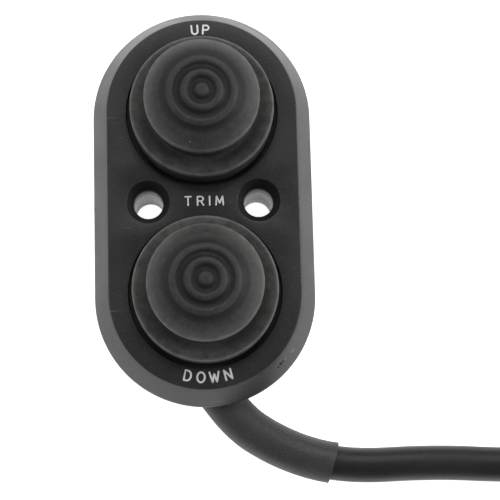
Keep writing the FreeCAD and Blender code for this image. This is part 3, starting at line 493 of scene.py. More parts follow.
def wound_spring_tree():
    """A helix of round wire that stands on every point."""
    tree, size, result = geometry_group("wound_spring", Radius=0.006, Wire=0.0004,
                                        Length=0.014, Turns=5.0)
    helix = node_in(tree, "GeometryNodeCurveSpiral", Resolution=40, Rotations=size["Turns"],
                    Start_Radius=size["Radius"], End_Radius=size["Radius"],
                    Height=size["Length"])
    section = node_in(tree, "GeometryNodeCurvePrimitiveCircle", Resolution=14,
                      Radius=size["Wire"])
    wire = node_in(tree, "GeometryNodeCurveToMesh", Curve=helix.outputs[0],
                   Profile_Curve=section.outputs[0], Fill_Caps=True)
    spread = node_in(tree, "GeometryNodeInstanceOnPoints", Points=size["Geometry"],
                     Instance=wire.outputs[0])
    return finished(tree, spread.outputs[0], size, result)


def flexing(piece, end, slot, foot, top, *replaced):
    """The piece stands in place of its nodes, with its placing baked into its mesh; its end, slot,
    foot and top are not used.
    """
    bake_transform(piece)
    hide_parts(*replaced)


ACETAL = moulded("natural_acetal", (0.62, 0.60, 0.54, 1), (0.70, 0.68, 0.62, 1), 0.4,
                 grain=1300.0, bump=0.015)
WOUND_SPRING = wound_spring_tree()
SPRING_SIZES = {"Radius": SPRING_RADIUS * MM, "Wire": SPRING_WIRE * MM,
                "Length": (SPRING_HEAD - SPRING_FOOT - 2 * SPRING_WIRE) * MM,
                "Turns": SPRING_TURNS, "Material": STEEL}
for end, side in SIDES.items():
    dressed(end + "_plunger", ACETAL)
    dressed(end + "_plunger_clip", STEEL)
    dressed(end + "_contact_bridge", BRONZE)
    foot = place_points(end + "_spring_place",
                        [(0.0, side * BUTTON_OFFSET, SPRING_FOOT + SPRING_WIRE)])
    spring = coated(end + "_wound_spring",
                    grown(end + "_spring", WOUND_SPRING, foot, SPRING_SIZES), STEEL)
    flexing(spring, end, "steel", SPRING_FOOT + SPRING_END, SPRING_HEAD - SPRING_END,
            end + "_return_spring")


# Boot retainer: an acetal plate with a guide tube for each plunger, moulded in one. It lies
# on the case's inner lip, which presses it up, and clamps both boots' flanges under the face.
dressed("boot_retainer", ACETAL)


# Button boots: each is one moulding of matte rubber, a still skirt that stands in its well
# and a mushroom cap with ring ripples. The neck between them flexes as the cap is pressed.
SKIRT_RADIUS = 14.35
SKIRT_WALL = 1.4
SKIRT_MIDDLE = 18.0
SKIRT_CEILING = 20.4
FLANGE_RADIUS = 16.6
FLANGE_FOOT = 13.4
FLANGE_TOP = 14.4
SHOULDER = 22.4
SHOULDER_ROUND = 0.4
SHOULDER_FLOOR = 21.3
SHOULDER_DIP = [(11.5, SHOULDER_FLOOR + 0.08), (12.6, SHOULDER_FLOOR + 0.55),
                (13.5, SHOULDER - 0.08)]
SHOULDER_UNDERSIDE = [(12.3, SKIRT_CEILING), (9.6, 19.9), (8.7, 20.6)]
NECK_RADIUS = 10.15
NECK_WAIST = [(NECK_RADIUS, 24.8), (NECK_RADIUS - 0.05, 23.8), (NECK_RADIUS, 22.8)]
NECK_ROUND = 0.8
NECK_INSIDE = 8.55
NECK_INSIDE_LEVELS = (22.0, 25.0, 26.9)
NECK_LIP = 0.55
NECK_LIP_HEIGHT = 0.9
CAP_RADIUS = 11.3
CAP_RIM = 29.7
CAP_ROUND = 0.3
CAP_BAND_FOOT = 28.2
CAP_BAND_ROUND = 0.35
CAP_BAND_LIP = 0.3
CAP_BAND_TURN = 0.2
CAP_FLARE_FOOT = 25.6
CAP_FLARE = 0.28
CAP_FLARE_RISE = 0.9
DOME_RISE = 4.6
DOME_POWER = 3.2
HEAD_TOP = 30.3
HEAD_FOOT = 28.5
RIPPLE_START = 0.7
RIPPLE_PITCH = 2.8
RIPPLE_DEPTH = 0.58
RIPPLE_FADE = 6.3
RIPPLE_END = 9.1
RIPPLE_LEVEL = 31.0
RIPPLE_OUTER_LOSS = 0.55
# Painted shade in the cap's ring grooves: the part of the wave it darkens, the radii over which it
# fades out and the heights over which it sets in
GROOVE_SHADE_SPAN = (-0.65, 0.35)
GROOVE_SHADE_FADE = (9.3, 7.0)
GROOVE_SHADE_LEVEL = (31.2, 31.6)
PATCH_SCALE = 500.0
BOOT_SECTORS = 144
DOME_RINGS = 76
FLEX_FOOT = 21.7
FLEX_TOP = 25.5
# Painted highlights on the rubber, paler where light catches the shoulder and the rims: from and to
# a radius and a height, the share and the tone
PAINTED_HIGHLIGHT_BANDS = [((10.6, 13.2), (20.6, 21.2), 0.9, 0.105), ((9.2, 10.9), (29.0, 29.6), 0.75, 0.075),
                ((10.8, 11.05), (29.2, 29.5), 0.7, 0.13), ((13.75, 14.1), (21.9, 22.2), 0.8, 0.13)]
CAP_SPECKS = [((7.3, -20.8, 32.95), 0.22), ((1.1, -24.1, 33.7), 0.16),
              ((-2.4, 8.7, 31.3), 0.2), ((-1.1, 26.3, 32.7), 0.14)]


def arc_points(centre, radius, start, end, count, tall=1.0):
    """Points on an arc in a plane, by its angles in degrees; its height may be stretched."""
    points = []
    for step in range(count + 1):
        angle = math.radians(start + (end - start) * step / count)
        points.append((centre[0] + radius * math.cos(angle),
                       centre[1] + radius * tall * math.sin(angle)))
    return points


def turned_mesh(name, profile, sectors, centre=(0.0, 0.0)):
    """A profile of (radius, height) in millimetres, from axis to axis, turned about it."""
    shape = bmesh.new()
    rings = []
    for radius, height in profile:
        count = sectors if radius else 1
        angles = [math.tau * step / sectors for step in range(count)]
        rings.append([shape.verts.new(metres(centre[0] + radius * math.cos(angle),
                                             centre[1] + radius * math.sin(angle), height))
                      for angle in angles])
    for one, two in zip(rings, rings[1:]):
        for step in range(sectors):
            after = (step + 1) % sectors
            if len(one) == 1:
                shape.faces.new((one[0], two[step], two[after]))
            elif len(two) == 1:
                shape.faces.new((one[step], two[0], one[after]))
            else:
                shape.faces.new((one[step], two[step], two[after], one[after]))
    bmesh.ops.recalc_face_normals(shape, faces=shape.faces)
    return smoothed(shape, bpy.data.meshes.new(name), angle=50.0)


def boot_profile():
    """The boot's section, from the middle of the cap's top out, down and back inside."""
    edge = CAP_RADIUS - CAP_ROUND
    points = []
    for step in range(DOME_RINGS + 1):
        radius = edge * step / DOME_RINGS
        points.append((radius, CAP_RIM + DOME_RISE * (1 - (radius / CAP_RADIUS) ** DOME_POWER)))
    points += arc_points((edge, CAP_RIM), CAP_ROUND, 45, 0, 3)
    points += [(CAP_RADIUS, CAP_BAND_FOOT + CAP_BAND_LIP)]
    points += arc_points((CAP_RADIUS - CAP_BAND_ROUND, CAP_BAND_FOOT + CAP_BAND_TURN),
                         CAP_BAND_ROUND, 0, -50, 4)
    points += [(NECK_RADIUS + CAP_FLARE, CAP_FLARE_FOOT + CAP_FLARE_RISE),
               (NECK_RADIUS, CAP_FLARE_FOOT)]
    points += NECK_WAIST
    points += arc_points((NECK_RADIUS + NECK_ROUND, SHOULDER_FLOOR + NECK_ROUND), NECK_ROUND,
                         180, 270, 6)
    points += SHOULDER_DIP
    points += arc_points((SKIRT_RADIUS - SHOULDER_ROUND, SHOULDER - SHOULDER_ROUND),
                         SHOULDER_ROUND, 95, 0, 6)
    inner_skirt = SKIRT_RADIUS - SKIRT_WALL
    points += [(SKIRT_RADIUS, SKIRT_MIDDLE), (SKIRT_RADIUS, FLANGE_TOP),
               (FLANGE_RADIUS, FLANGE_TOP), (FLANGE_RADIUS, FLANGE_FOOT),
               (inner_skirt, FLANGE_FOOT), (inner_skirt, SKIRT_CEILING)]
    points += SHOULDER_UNDERSIDE
    points += [(NECK_INSIDE, level) for level in NECK_INSIDE_LEVELS]
    lip = NECK_INSIDE - NECK_LIP
    points += [(lip, HEAD_FOOT - NECK_LIP_HEIGHT), (lip, HEAD_FOOT), (NECK_INSIDE, HEAD_FOOT),
               (NECK_INSIDE, HEAD_TOP), (0.0, HEAD_TOP)]
    return points


def ring_ripples_tree():
    """Ring grooves sunk in a round dome; the ones past the fade are shallow."""
    tree, size, result = geometry_group(
        "ring_ripples", Offset=0.018, Start=0.0007, Pitch=0.0028, Depth=0.0003, Fade=0.0063,
        End=0.009, Level=0.031)
    place = node_in(tree, "GeometryNodeInputPosition").outputs[0]
    radius = radius_in(tree, place, size["Offset"])
    turns = math_in(tree, "DIVIDE", math_in(tree, "SUBTRACT", radius, size["Start"]),
                    size["Pitch"])
    wave = math_in(tree, "COSINE", times(tree, turns, math.tau))
    sunk = times(tree, math_in(tree, "SUBTRACT", wave, 1.0), 0.5)
    for test, edge in (("GREATER_THAN", "Start"), ("LESS_THAN", "End")):
        sunk = times(tree, sunk, math_in(tree, test, radius, size[edge]))
    outer = math_in(tree, "GREATER_THAN", radius, size["Fade"])
    share = math_in(tree, "SUBTRACT", 1.0, times(tree, outer, RIPPLE_OUTER_LOSS))
    drop = times(tree, sunk, share, size["Depth"])
    above = math_in(tree, "GREATER_THAN", height_in(tree, place), size["Level"])
    moved = node_in(tree, "GeometryNodeSetPosition", Geometry=size["Geometry"],
                    Selection=above, Offset=upright(tree, drop)).outputs[0]
    return finished(tree, moved, size, result)


def rubber_with_painted_light():
    """Matte rubber with painted shade in the grooves, painted highlights on its rims and shoulder,
    and settled dust.
    """
    material = moulded("matte_boot_rubber", grey(0.022, 0.05), grey(0.036, 0.05), 0.6,
                       grain=1700.0, bump=0.04, dust=0.5, dust_tone=0.11, speck=3400.0,
                       specular=0.35, rough_span=0.05, drift=800.0)
    tree = material.node_tree
    base = tree.nodes["Principled BSDF"].inputs["Base Color"]
    colour = base.links[0].from_socket
    place = tree.nodes.new("ShaderNodeTexCoord").outputs["Object"]
    height = height_in(tree, place)
    radius = radius_in(tree, place, BUTTON_OFFSET * MM)
    # Painted highlights: slow patches break up the paler bands that stand for light caught on the
    # shoulder, the cap's outer part and the edges of the cap and the tier.
    patches = noise_in(tree, place, PATCH_SCALE, 4.0, 0.65)
    highlight_breakup = ranged(tree, patches, 0.3, 0.7, 0.35, 1.0)
    for radii, levels, share, tone in PAINTED_HIGHLIGHT_BANDS:
        band = times(tree, ranged(tree, radius, *metres(*radii)),
                     ranged(tree, height, *metres(*levels)))
        colour = blended(tree, times(tree, band, share, highlight_breakup), colour, grey(tone, 0.04))
    # Painted shade: the colour goes near black along each ring groove of the cap's top, where shade
    # falls.
    turns = times(tree, math_in(tree, "SUBTRACT", radius, RIPPLE_START * MM),
                  math.tau / (RIPPLE_PITCH * MM))
    groove = times(tree, math_in(tree, "COSINE", turns), -1.0)
    groove = times(tree, ranged(tree, groove, *GROOVE_SHADE_SPAN),
                   ranged(tree, radius, *metres(*GROOVE_SHADE_FADE)),
                   ranged(tree, height, *metres(*GROOVE_SHADE_LEVEL)))
    tree.links.new(blended(tree, groove, colour, grey(0.004)), base)
    return spotted(material, CAP_SPECKS, grey(0.3))


RUBBER = rubber_with_painted_light()
RING_RIPPLES = ring_ripples_tree()
RIPPLE_SIZES = {"Offset": BUTTON_OFFSET * MM, "Start": RIPPLE_START * MM,
                "Pitch": RIPPLE_PITCH * MM, "Depth": RIPPLE_DEPTH * MM,
                "Fade": RIPPLE_FADE * MM, "End": RIPPLE_END * MM, "Level": RIPPLE_LEVEL * MM,
                "Material": RUBBER}
for end, side in SIDES.items():
    plain = turned_mesh(end + "_plain_boot", boot_profile(), BOOT_SECTORS,
                        (0.0, side * BUTTON_OFFSET))
    boot = coated(end + "_rubber_boot",
                  grown(end + "_boot", RING_RIPPLES, plain, RIPPLE_SIZES, angle=50.0), RUBBER)
    flexing(boot, end, "boot_rubber", FLEX_FOOT, FLEX_TOP,
            end + "_boot_skirt", end + "_button_pad")


# Front bezel: the drafted oval cover, injection moulded in the same black ABS as the case.
# Its face has the two button wells and the two countersunk mounting holes, and the case
# screws hold it from behind.
END_OFFSET = 18.5
EDGE_RADIUS = 22.2
FACE_RADIUS = 19.1
FACE_HEIGHT = 17.0
EDGE_TOP = 11.3
BEZEL_FOOT = 10.7
PLATE_FOOT = 14.4
HOLLOW_RADIUS = 18.5
HOLLOW_FOOT_RADIUS = 20.2
WELL_RADIUS = 15.2
MOUNT_OFFSET = 11.07
SINK_RADIUS = 4.25
SINK_TOP = 16.8
SINK_FLOOR = 14.7
SINK_ROUND = 0.1
BORE_RADIUS = 2.98
BORE_CHAMFER = 0.35
BOSS_RADIUS = 4.3
FACE_ROUND = 0.4
HOLE_ROUND = 0.2
HOLE_ROUND_STEPS = 4
# The soft edges of the band, as insets and rises from its foot and from its widest line
FOOT_EDGE = [(0.35, 0.0), (0.1, 0.1), (0.0, 0.3)]
BAND_EDGE = [(0.01, -0.12), (0.06, 0.08), (0.2, 0.34)]
END_STEPS = 72
SIDE_STEPS = 20
WELL_STEPS = 144
BORE_STEPS = 72


def oval_points(radius):
    """An oval of two half circles and two straight sides, anticlockwise, in millimetres."""
    points = []
    for side in (1, -1):
        points += arc_points((0.0, side * END_OFFSET), side * radius, 0, 180, END_STEPS)
        for step in range(1, SIDE_STEPS):
            share = step / SIDE_STEPS
            points.append((-side * radius, side * END_OFFSET * (1 - 2 * share)))
    return points


def lifted(shape, points, height):
    return [shape.verts.new(metres(x, y, height)) for x, y in points]


def joined(shape, loops):
    """Walls between each loop of vertices and the next; all have as many points."""
    for one, two in zip(loops, loops[1:]):
        for step in range(len(one)):
            after = (step + 1) % len(one)
            shape.faces.new((one[step], one[after], two[after], two[step]))


def filled(shape, loops):
    """Flat faces between an outer loop and the loops of its holes."""
    edges = []
    for loop in loops:
        for one, two in zip(loop, loop[1:] + loop[:1]):
            edges.append(shape.edges.get((one, two)) or shape.edges.new((one, two)))
    bmesh.ops.triangle_fill(shape, use_beauty=True, use_dissolve=False, edges=edges,
                            normal=(0, 0, 1))


def hole_walls(shape, centre, radius, steps, count):
    """The loops of a round hole's mouth and foot, walled between by (radius, height) steps."""
    mouth = []
    for step in range(HOLE_ROUND_STEPS + 1):
        turn = math.pi / 2 * step / HOLE_ROUND_STEPS
        mouth.append((radius + HOLE_ROUND * (1 - math.sin(turn)),
                      FACE_HEIGHT - HOLE_ROUND * (1 - math.cos(turn))))
    loops = [lifted(shape, arc_points(centre, wide, 0, 360, count)[:-1], height)
             for wide, height in mouth + steps]
    joined(shape, loops)
    return loops[0], loops[-1]


def band_section():
    """The outside of the bezel from its foot up to its face, as (radius, height)."""
    section = [(HOLLOW_FOOT_RADIUS, BEZEL_FOOT)]
    section += [(EDGE_RADIUS - inset, BEZEL_FOOT + rise) for inset, rise in FOOT_EDGE]
    section += [(EDGE_RADIUS - inset, EDGE_TOP + rise) for inset, rise in BAND_EDGE]
    for share in (0.25, 0.5, 0.75):
        section.append((EDGE_RADIUS + (FACE_RADIUS - EDGE_RADIUS) * share,
                        EDGE_TOP + (FACE_HEIGHT - EDGE_TOP) * share))
    slope = math.atan2(EDGE_RADIUS - FACE_RADIUS, FACE_HEIGHT - EDGE_TOP)
    centre_radius = FACE_RADIUS + FACE_ROUND * (math.sin(slope) - 1) / math.cos(slope)
    return section + arc_points((centre_radius, FACE_HEIGHT - FACE_ROUND), FACE_ROUND,
                                math.degrees(slope), 90, 6)


def bezel_mesh():
    shape = bmesh.new()
    outer = [lifted(shape, oval_points(radius), height) for radius, height in band_section()]
    joined(shape, outer)
    under = lifted(shape, oval_points(HOLLOW_RADIUS), PLATE_FOOT)
    joined(shape, [under, outer[0]])
    well_wall = [(WELL_RADIUS, PLATE_FOOT)]
    bore_wall = [(SINK_RADIUS, SINK_TOP), (BORE_RADIUS + SINK_ROUND, SINK_FLOOR + SINK_ROUND),
                 (BORE_RADIUS, SINK_FLOOR - SINK_ROUND),
                 (BORE_RADIUS, BEZEL_FOOT + BORE_CHAMFER),
                 (BORE_RADIUS + BORE_CHAMFER, BEZEL_FOOT), (BOSS_RADIUS, BEZEL_FOOT),
                 (BOSS_RADIUS, PLATE_FOOT)]
    face_loops = [outer[-1]]
    under_loops = [under]
    for side in (1, -1):
        for centre, radius, wall, count in (
                ((0.0, side * BUTTON_OFFSET), WELL_RADIUS, well_wall, WELL_STEPS),
                ((side * MOUNT_OFFSET, 0.0), SINK_RADIUS, bore_wall, BORE_STEPS)):
            mouth, foot = hole_walls(shape, centre, radius, wall, count)
            face_loops.append(mouth)
            under_loops.append(foot)
    filled(shape, face_loops)
    filled(shape, under_loops)
    bmesh.ops.recalc_face_normals(shape, faces=shape.faces)
    return smoothed(shape, bpy.data.meshes.new("front_bezel_mesh"), angle=35.0)


mounted(coated("front_bezel_cover", bezel_mesh(), HOUSING), "housing", "front_bezel")


# Legends: plain round-ended words cut into the face with a pantograph and filled with white
# paint. They say what the buttons do.
LETTER_HEIGHT = 1.75
STROKE = 0.155
LEGEND_LIFT = 0.03
UP_ARC = 17.32
UP_TALL = 1.04
UP_WEIGHT = 1.2
DOWN_ARC = 17.0
DOWN_TALL = 1.12
DOWN_WEIGHT = 1.25
TRIM_LEVEL = 0.05
# Each word's letters and how far each stands from the face's middle line
UP_LETTERS = [("U", -1.12), ("P", 1.12)]
TRIM_LETTERS = [("T", -3.1), ("R", -0.66), ("I", 1.2), ("M", 3.2)]
DOWN_LETTERS = [("D", -3.8), ("O", -1.22), ("W", 1.42), ("N", 4.12)]


def zigzag(*corners):
    """A stroke with sharp turns, as one straight stroke for each of its sides."""
    return [list(pair) for pair in zip(corners, corners[1:])]


def bowl(stem):
    """The half ring of a letter, from the top of its stem round to the middle."""
    return [(stem, 0.5)] + arc_points((0.05, 0.24), 0.28, 90, -90, 10, 0.26 / 0.28) + [(stem, -0.02)]


LETTERS = {
    "U": [[(-0.33, 0.5)] + arc_points((0, -0.17), 0.33, 180, 360, 10) + [(0.33, 0.5)]],
    "P": [[(-0.3, -0.5), (-0.3, 0.5)], bowl(-0.3)],
    "T": [[(-0.33, 0.5), (0.33, 0.5)], [(0, 0.5), (0, -0.5)]],
    "R": [[(-0.32, -0.5), (-0.32, 0.5)], bowl(-0.32), [(0.05, -0.02), (0.36, -0.5)]],
    "I": [[(0, 0.5), (0, -0.5)]],
    "M": zigzag((-0.42, -0.5), (-0.34, 0.5), (0, -0.3), (0.34, 0.5), (0.42, -0.5)),
    "D": [[(-0.32, -0.5), (-0.32, 0.5)] + arc_points((-0.05, 0), 0.37, 90, -90, 10, 0.5 / 0.37)
          + [(-0.32, -0.5)]],
    "O": [arc_points((0, 0), 0.38, 0, 360, 24, 0.5 / 0.38)],
    "W": zigzag((-0.46, 0.5), (-0.22, -0.5), (0, 0.3), (0.22, -0.5), (0.46, 0.5)),
    "N": zigzag((-0.32, -0.5), (-0.32, 0.5), (0.32, -0.5), (0.32, 0.5)),
}


def written(letter, x, y, turn=0.0, tall=1.0, weight=1.0):
    """One letter's strokes as points on the face, in millimetres, each with its weight."""
    strokes = []
    for stroke in LETTERS[letter]:
        spots = []
        for u, v in stroke:
            u *= LETTER_HEIGHT * tall
            v *= LETTER_HEIGHT * tall
            spots.append((x + u * math.cos(turn) - v * math.sin(turn),
                          y + u * math.sin(turn) + v * math.cos(turn)))
        strokes.append((spots, weight))
    return strokes


def legend_strokes():
    """Every stroke of the three words; the upper and lower ones follow their wells."""
    strokes = []
    for letter, x in UP_LETTERS:
        turn = -math.asin(x / UP_ARC)
        strokes += written(letter, x, BUTTON_OFFSET + UP_ARC * math.cos(turn), turn,
                           UP_TALL, UP_WEIGHT)
    for letter, x in TRIM_LETTERS:
        strokes += written(letter, x, TRIM_LEVEL)
    for letter, x in DOWN_LETTERS:
        turn = math.asin(x / DOWN_ARC)
        strokes += written(letter, x, -BUTTON_OFFSET - DOWN_ARC * math.cos(turn), turn,
                           DOWN_TALL, DOWN_WEIGHT)
    return strokes


def round_curve(name, radius, detail):
    """An empty curve with a round section, closed at its ends."""
    curve = bpy.data.curves.new(name, "CURVE")
    curve.dimensions = "3D"
    curve.bevel_depth = radius * MM
    curve.bevel_resolution = detail
    curve.use_fill_caps = True
    return curve


def legend_mesh():
    """Each stroke as a low round-topped bead of paint that sits in its groove."""
    curve = round_curve("legend_curve", STROKE, 3)
    strokes = legend_strokes()
    for stroke, weight in strokes:
        line = curve.splines.new("POLY")
        line.points.add(len(stroke) - 1)
        for point, (x, y) in zip(line.points, stroke):
            point.co = (x * MM, y * MM, 0.0, 1.0)
            point.radius = weight
    mesh = plain_mesh(add_object("legend_holder", curve))
    shape = bmesh.new()
    shape.from_mesh(mesh)
    for stroke, weight in strokes:
        for x, y in (stroke[0], stroke[-1]):
            bmesh.ops.create_icosphere(shape, subdivisions=2, radius=STROKE * weight * MM,
                                       matrix=Matrix.Translation(metres(x, y, 0)))
    flat = LEGEND_LIFT / STROKE
    for vert in shape.verts:
        vert.co.z = vert.co.z * flat + FACE_HEIGHT * MM
    for face in shape.faces:
        face.smooth = True
    shape.to_mesh(mesh)
    shape.free()
    return mesh


PAINT = moulded("white_legend_paint", grey(0.78, 0.01), grey(0.88, 0.01), 0.55, grain=3000.0,
                bump=0.02, drift=900.0)
mounted(coated("face_legends", legend_mesh(), PAINT), "legend")


# Case screws: four small pan-head screws with a cross recess, of stainless steel. They are
# driven from the back, sunk in the case, and bite in the bezel's bosses.
CASE_SCREW_ACROSS = 15.6
CASE_SCREW_ALONG = 4.8
CASE_SCREW_SEAT = 1.5
CASE_SCREW_PLACES = [(side * CASE_SCREW_ACROSS, end * CASE_SCREW_ALONG, CASE_SCREW_SEAT)
                     for side in (1, -1) for end in (1, -1)]
CASE_SCREW_SIZES = {"Head radius": 1.8 * MM, "Head height": 1.3 * MM, "Crown": 0.38,
                    "Shank radius": 0.85 * MM, "Shank length": 12.1 * MM,
                    "Recess": 0.75 * MM, "Turn": (math.pi, 0.0, 0.4), "Material": STEEL}
pin_set("case_screw_set", CASE_SCREW_PLACES, CASE_SCREW_SIZES, "steel", "case_screws")


# Lead: a round sheath of soft black plastic, extruded over three cores. It leaves the lower
# end of the case, bends round on the bench and runs off to one side, and the length that
# isn't needed is wound into a flat coil.
CABLE_RADIUS = 3.5
CABLE_ROUTE = [
    (-2.1, -30.3, 5.5), (4.0, -41.8, 5.5), (15.0, -49.2, 4.3), (27.5, -52.9, 4.1),
    (46.0, -52.2, 3.5), (62.0, -53.4, 3.6), (76.5, -52.8, 4.5), (89.0, -52.8, 4.5),
]
LEAVING_ROUTE = [(132.0, -52.8, 11.5), (145.0, -52.0, 9.0)]
TAIL_ROUTE = [(159.8, -51.09, 6.15), (173.0, -44.5, 3.7), (181.5, -32.0, 3.5),
              (185.0, -17.5, 3.5)]
COIL_CENTRE = (116.0, -7.3)
COIL_FOOT = 4.5
COIL_RADII = (45.5, 38.5, 31.5, 31.5, 38.5, 45.5)
CLIMBING_TURN = 2
CHANGE_START = 0.62
CHANGE_SPAN = 0.36
TURN_STEPS = 16


def eased(share):
    share = min(max(share, 0.0), 1.0)
    return share * share * (3 - 2 * share)


def coil_points():
    """Six turns, from the outside in on the lower layer and back out on the upper one."""
    swell = 1 / math.cos(math.pi / TURN_STEPS)
    points = []
    for turn, radius in enumerate(COIL_RADII):
        after = COIL_RADII[min(turn + 1, len(COIL_RADII) - 1)]
        for step in range(TURN_STEPS):
            share = step / TURN_STEPS
            change = eased((share - CHANGE_START) / CHANGE_SPAN)
            here = (radius + (after - radius) * change) * swell
            layer = change if turn == CLIMBING_TURN else float(turn > CLIMBING_TURN)
            angle = -math.pi / 2 + math.tau * share
            points.append((COIL_CENTRE[0] + here * math.cos(angle),
                           COIL_CENTRE[1] + here * math.sin(angle),
                           COIL_FOOT + layer * 2 * CABLE_RADIUS))
    points.append((COIL_CENTRE[0], COIL_CENTRE[1] - COIL_RADII[-1] * swell,
                   COIL_FOOT + 2 * CABLE_RADIUS))
    return points


def lead_piece(name, points, radius, material, slot, *replaced):
    """A smooth round lead along its control points, given in millimetres."""
    curve = round_curve(name, radius, 7)
    line = curve.splines.new("NURBS")
    line.points.add(len(points) - 1)
    for point, spot in zip(line.points, points):
        point.co = (*metres(*spot), 1.0)
    line.order_u = 3
    line.use_endpoint_u = True
    curve.resolution_u = 10
    curve.materials.append(material)
    return mounted(add_object(name, curve), slot, *replaced)


def route_line(lead):
    """The points of a lead's own smooth line, read with no bevel."""
    plain = lead.data.copy()
    plain.bevel_depth = 0.0
    mesh = plain_mesh(add_object("route_holder", plain))
    points = [vert.co.copy() for vert in mesh.vertices]
    bpy.data.meshes.remove(mesh)
    return points


SHEATH = moulded("black_sheath", grey(0.010, 0.05), grey(0.014, 0.05), 0.45, grain=700.0,
                 bump=0.03, dust=0.2, dust_tone=0.08, speck=2200.0, scuff=0.2, specular=0.35)
cable = lead_piece("lead_cable", CABLE_ROUTE + coil_points() + LEAVING_ROUTE + TAIL_ROUTE,
                   CABLE_RADIUS, SHEATH, "sheath", "cable", "cable_coil", "cable_tail")
cable_line = route_line(cable)


# Cable sleeve: black heat-shrink tube over the lead's first stretch. It starts in the case's
# outlet and eases the bend there, and it has shrunk a little unevenly.
SLEEVE_RADIUS = 4.2
SLEEVE_START = 8.6
SLEEVE_LENGTH = 27.8
SLEEVE_STEPS = 90
SLEEVE_WAVES = 420.0
SLEEVE_WAVE_LEVEL = 0.7
LAST_STEP = 0.999


def shrunk_sleeve_tree():
    """A closed tube round a stretch of a line, flared at its ends and a little uneven."""
    tree, size, result = geometry_group(
        "shrunk_sleeve", Radius=0.004, Start=0.008, Length=0.028, Lip=0.0008, Flare=0.03,
        Uneven=0.01, End_lean=(0.0, 0.0, 0.0))
    line = node_in(tree, "GeometryNodeMeshToCurve", Mesh=size["Geometry"]).outputs[0]
    whole = node_in(tree, "GeometryNodeCurveLength", Curve=line).outputs[0]
    end = math_in(tree, "ADD", size["Start"], size["Length"])
    part = node_in(tree, "GeometryNodeTrimCurve", Curve=line,
                   Start=math_in(tree, "DIVIDE", size["Start"], whole),
                   End=math_in(tree, "DIVIDE", end, whole)).outputs[0]
    even = node_in(tree, "GeometryNodeResampleCurve", Curve=part, Count=SLEEVE_STEPS)
    walk = node_in(tree, "GeometryNodeSplineParameter").outputs
    even = node_in(tree, "GeometryNodeSetPosition", Geometry=even.outputs[0],
                   Selection=math_in(tree, "GREATER_THAN", walk["Factor"], LAST_STEP),
                   Offset=size["End lean"]).outputs[0]
    rest = math_in(tree, "SUBTRACT", size["Length"], walk["Length"])
    inset = math_in(tree, "DIVIDE", math_in(tree, "MINIMUM", walk["Length"], rest), size["Lip"])
    short = math_in(tree, "SUBTRACT", 1.0, inset, True)
    flare = times(tree, short, short, size["Flare"])
    waves = node_in(tree, "ShaderNodeTexNoise", noise_dimensions="1D", W=walk["Length"],
                    Scale=SLEEVE_WAVES, Detail=1.0).outputs["Fac"]
    waves = math_in(tree, "SUBTRACT", waves, SLEEVE_WAVE_LEVEL)
    swell = times(tree, waves, size["Uneven"])
    share = math_in(tree, "ADD", math_in(tree, "ADD", swell, 1.0), flare)
    section = node_in(tree, "GeometryNodeCurvePrimitiveCircle", Resolution=48, Radius=1.0)
    tube = node_in(tree, "GeometryNodeCurveToMesh", Curve=even,
                   Profile_Curve=section.outputs[0], Scale=times(tree, share, size["Radius"]),
                   Fill_Caps=True).outputs[0]
    return finished(tree, tube, size, result)


def line_mesh(name, points):
    mesh = bpy.data.meshes.new(name)
    mesh.from_pydata(points, [(step, step + 1) for step in range(len(points) - 1)], [])
    return mesh


SLEEVE = moulded("black_shrink_sleeve", grey(0.034), grey(0.043), 0.5, grain=1100.0, bump=0.05,
                 dust=0.5, dust_tone=0.16, speck=2600.0, specular=0.4)
SLEEVE_SIZES = {"Radius": SLEEVE_RADIUS * MM, "Start": SLEEVE_START * MM,
                "Length": SLEEVE_LENGTH * MM, "Lip": 0.8 * MM, "Flare": 0.02, "Uneven": 0.014,
                "End lean": (0.0, -0.04 * MM, 0.0), "Material": SLEEVE}
sleeve_tube = grown("sleeve_tube", shrunk_sleeve_tree(), line_mesh("sleeve_line", cable_line),
                    SLEEVE_SIZES, angle=50.0)
sleeve = mounted(coated("lead_sleeve", sleeve_tube, SLEEVE), "sleeve", "cable_sleeve")


# Coil straps: two black nylon ties drawn tight round all six turns of the put-away lead, so
# that it stays a flat coil.
TIE_ANGLES = (35.0, 155.0)
TIE_THICKNESS = 1.0
TIE_WIDTH = 4.0
TIE_CORNER = 2.5


def strap_tree():
    """A flat closed strap with round corners, upright across the coil at every point."""
    tree, size, result = geometry_group("coil_straps", Across=0.022, Height=0.015,
                                        Thickness=0.001, Width=0.004, Corner=0.003)
    loop = node_in(tree, "GeometryNodeCurvePrimitiveQuadrilateral", Width=size["Across"],
                   Height=size["Height"])
    soft = node_in(tree, "GeometryNodeFilletCurve", mode="POLY", Curve=loop.outputs[0],
                   Radius=size["Corner"], Count=6)
    flat = node_in(tree, "GeometryNodeSetCurveNormal", mode="Z_UP", Curve=soft.outputs[0])
    band = node_in(tree, "GeometryNodeCurvePrimitiveQuadrilateral", Width=size["Thickness"],
                   Height=size["Width"])
    strap = node_in(tree, "GeometryNodeCurveToMesh", Curve=flat.outputs[0],
                    Profile_Curve=band.outputs[0])
    stood = node_in(tree, "GeometryNodeTransform", Geometry=strap.outputs[0],
                    Rotation=(math.pi / 2, 0.0, 0.0))
    place = node_in(tree, "GeometryNodeInputPosition").outputs[0]
    parts = node_in(tree, "ShaderNodeSeparateXYZ", Vector=place).outputs
    heading = upright(tree, math_in(tree, "ARCTAN2", parts["Y"], parts["X"]))
    spread = node_in(tree, "GeometryNodeInstanceOnPoints", Points=size["Geometry"],
                     Instance=stood.outputs[0], Rotation=heading)
    return finished(tree, spread.outputs[0], size, result)


def line_length(points):
    """The length of a line of points, to a tenth of a millimetre."""
    return round(sum((two - one).length for one, two in zip(points, points[1:])), 4)


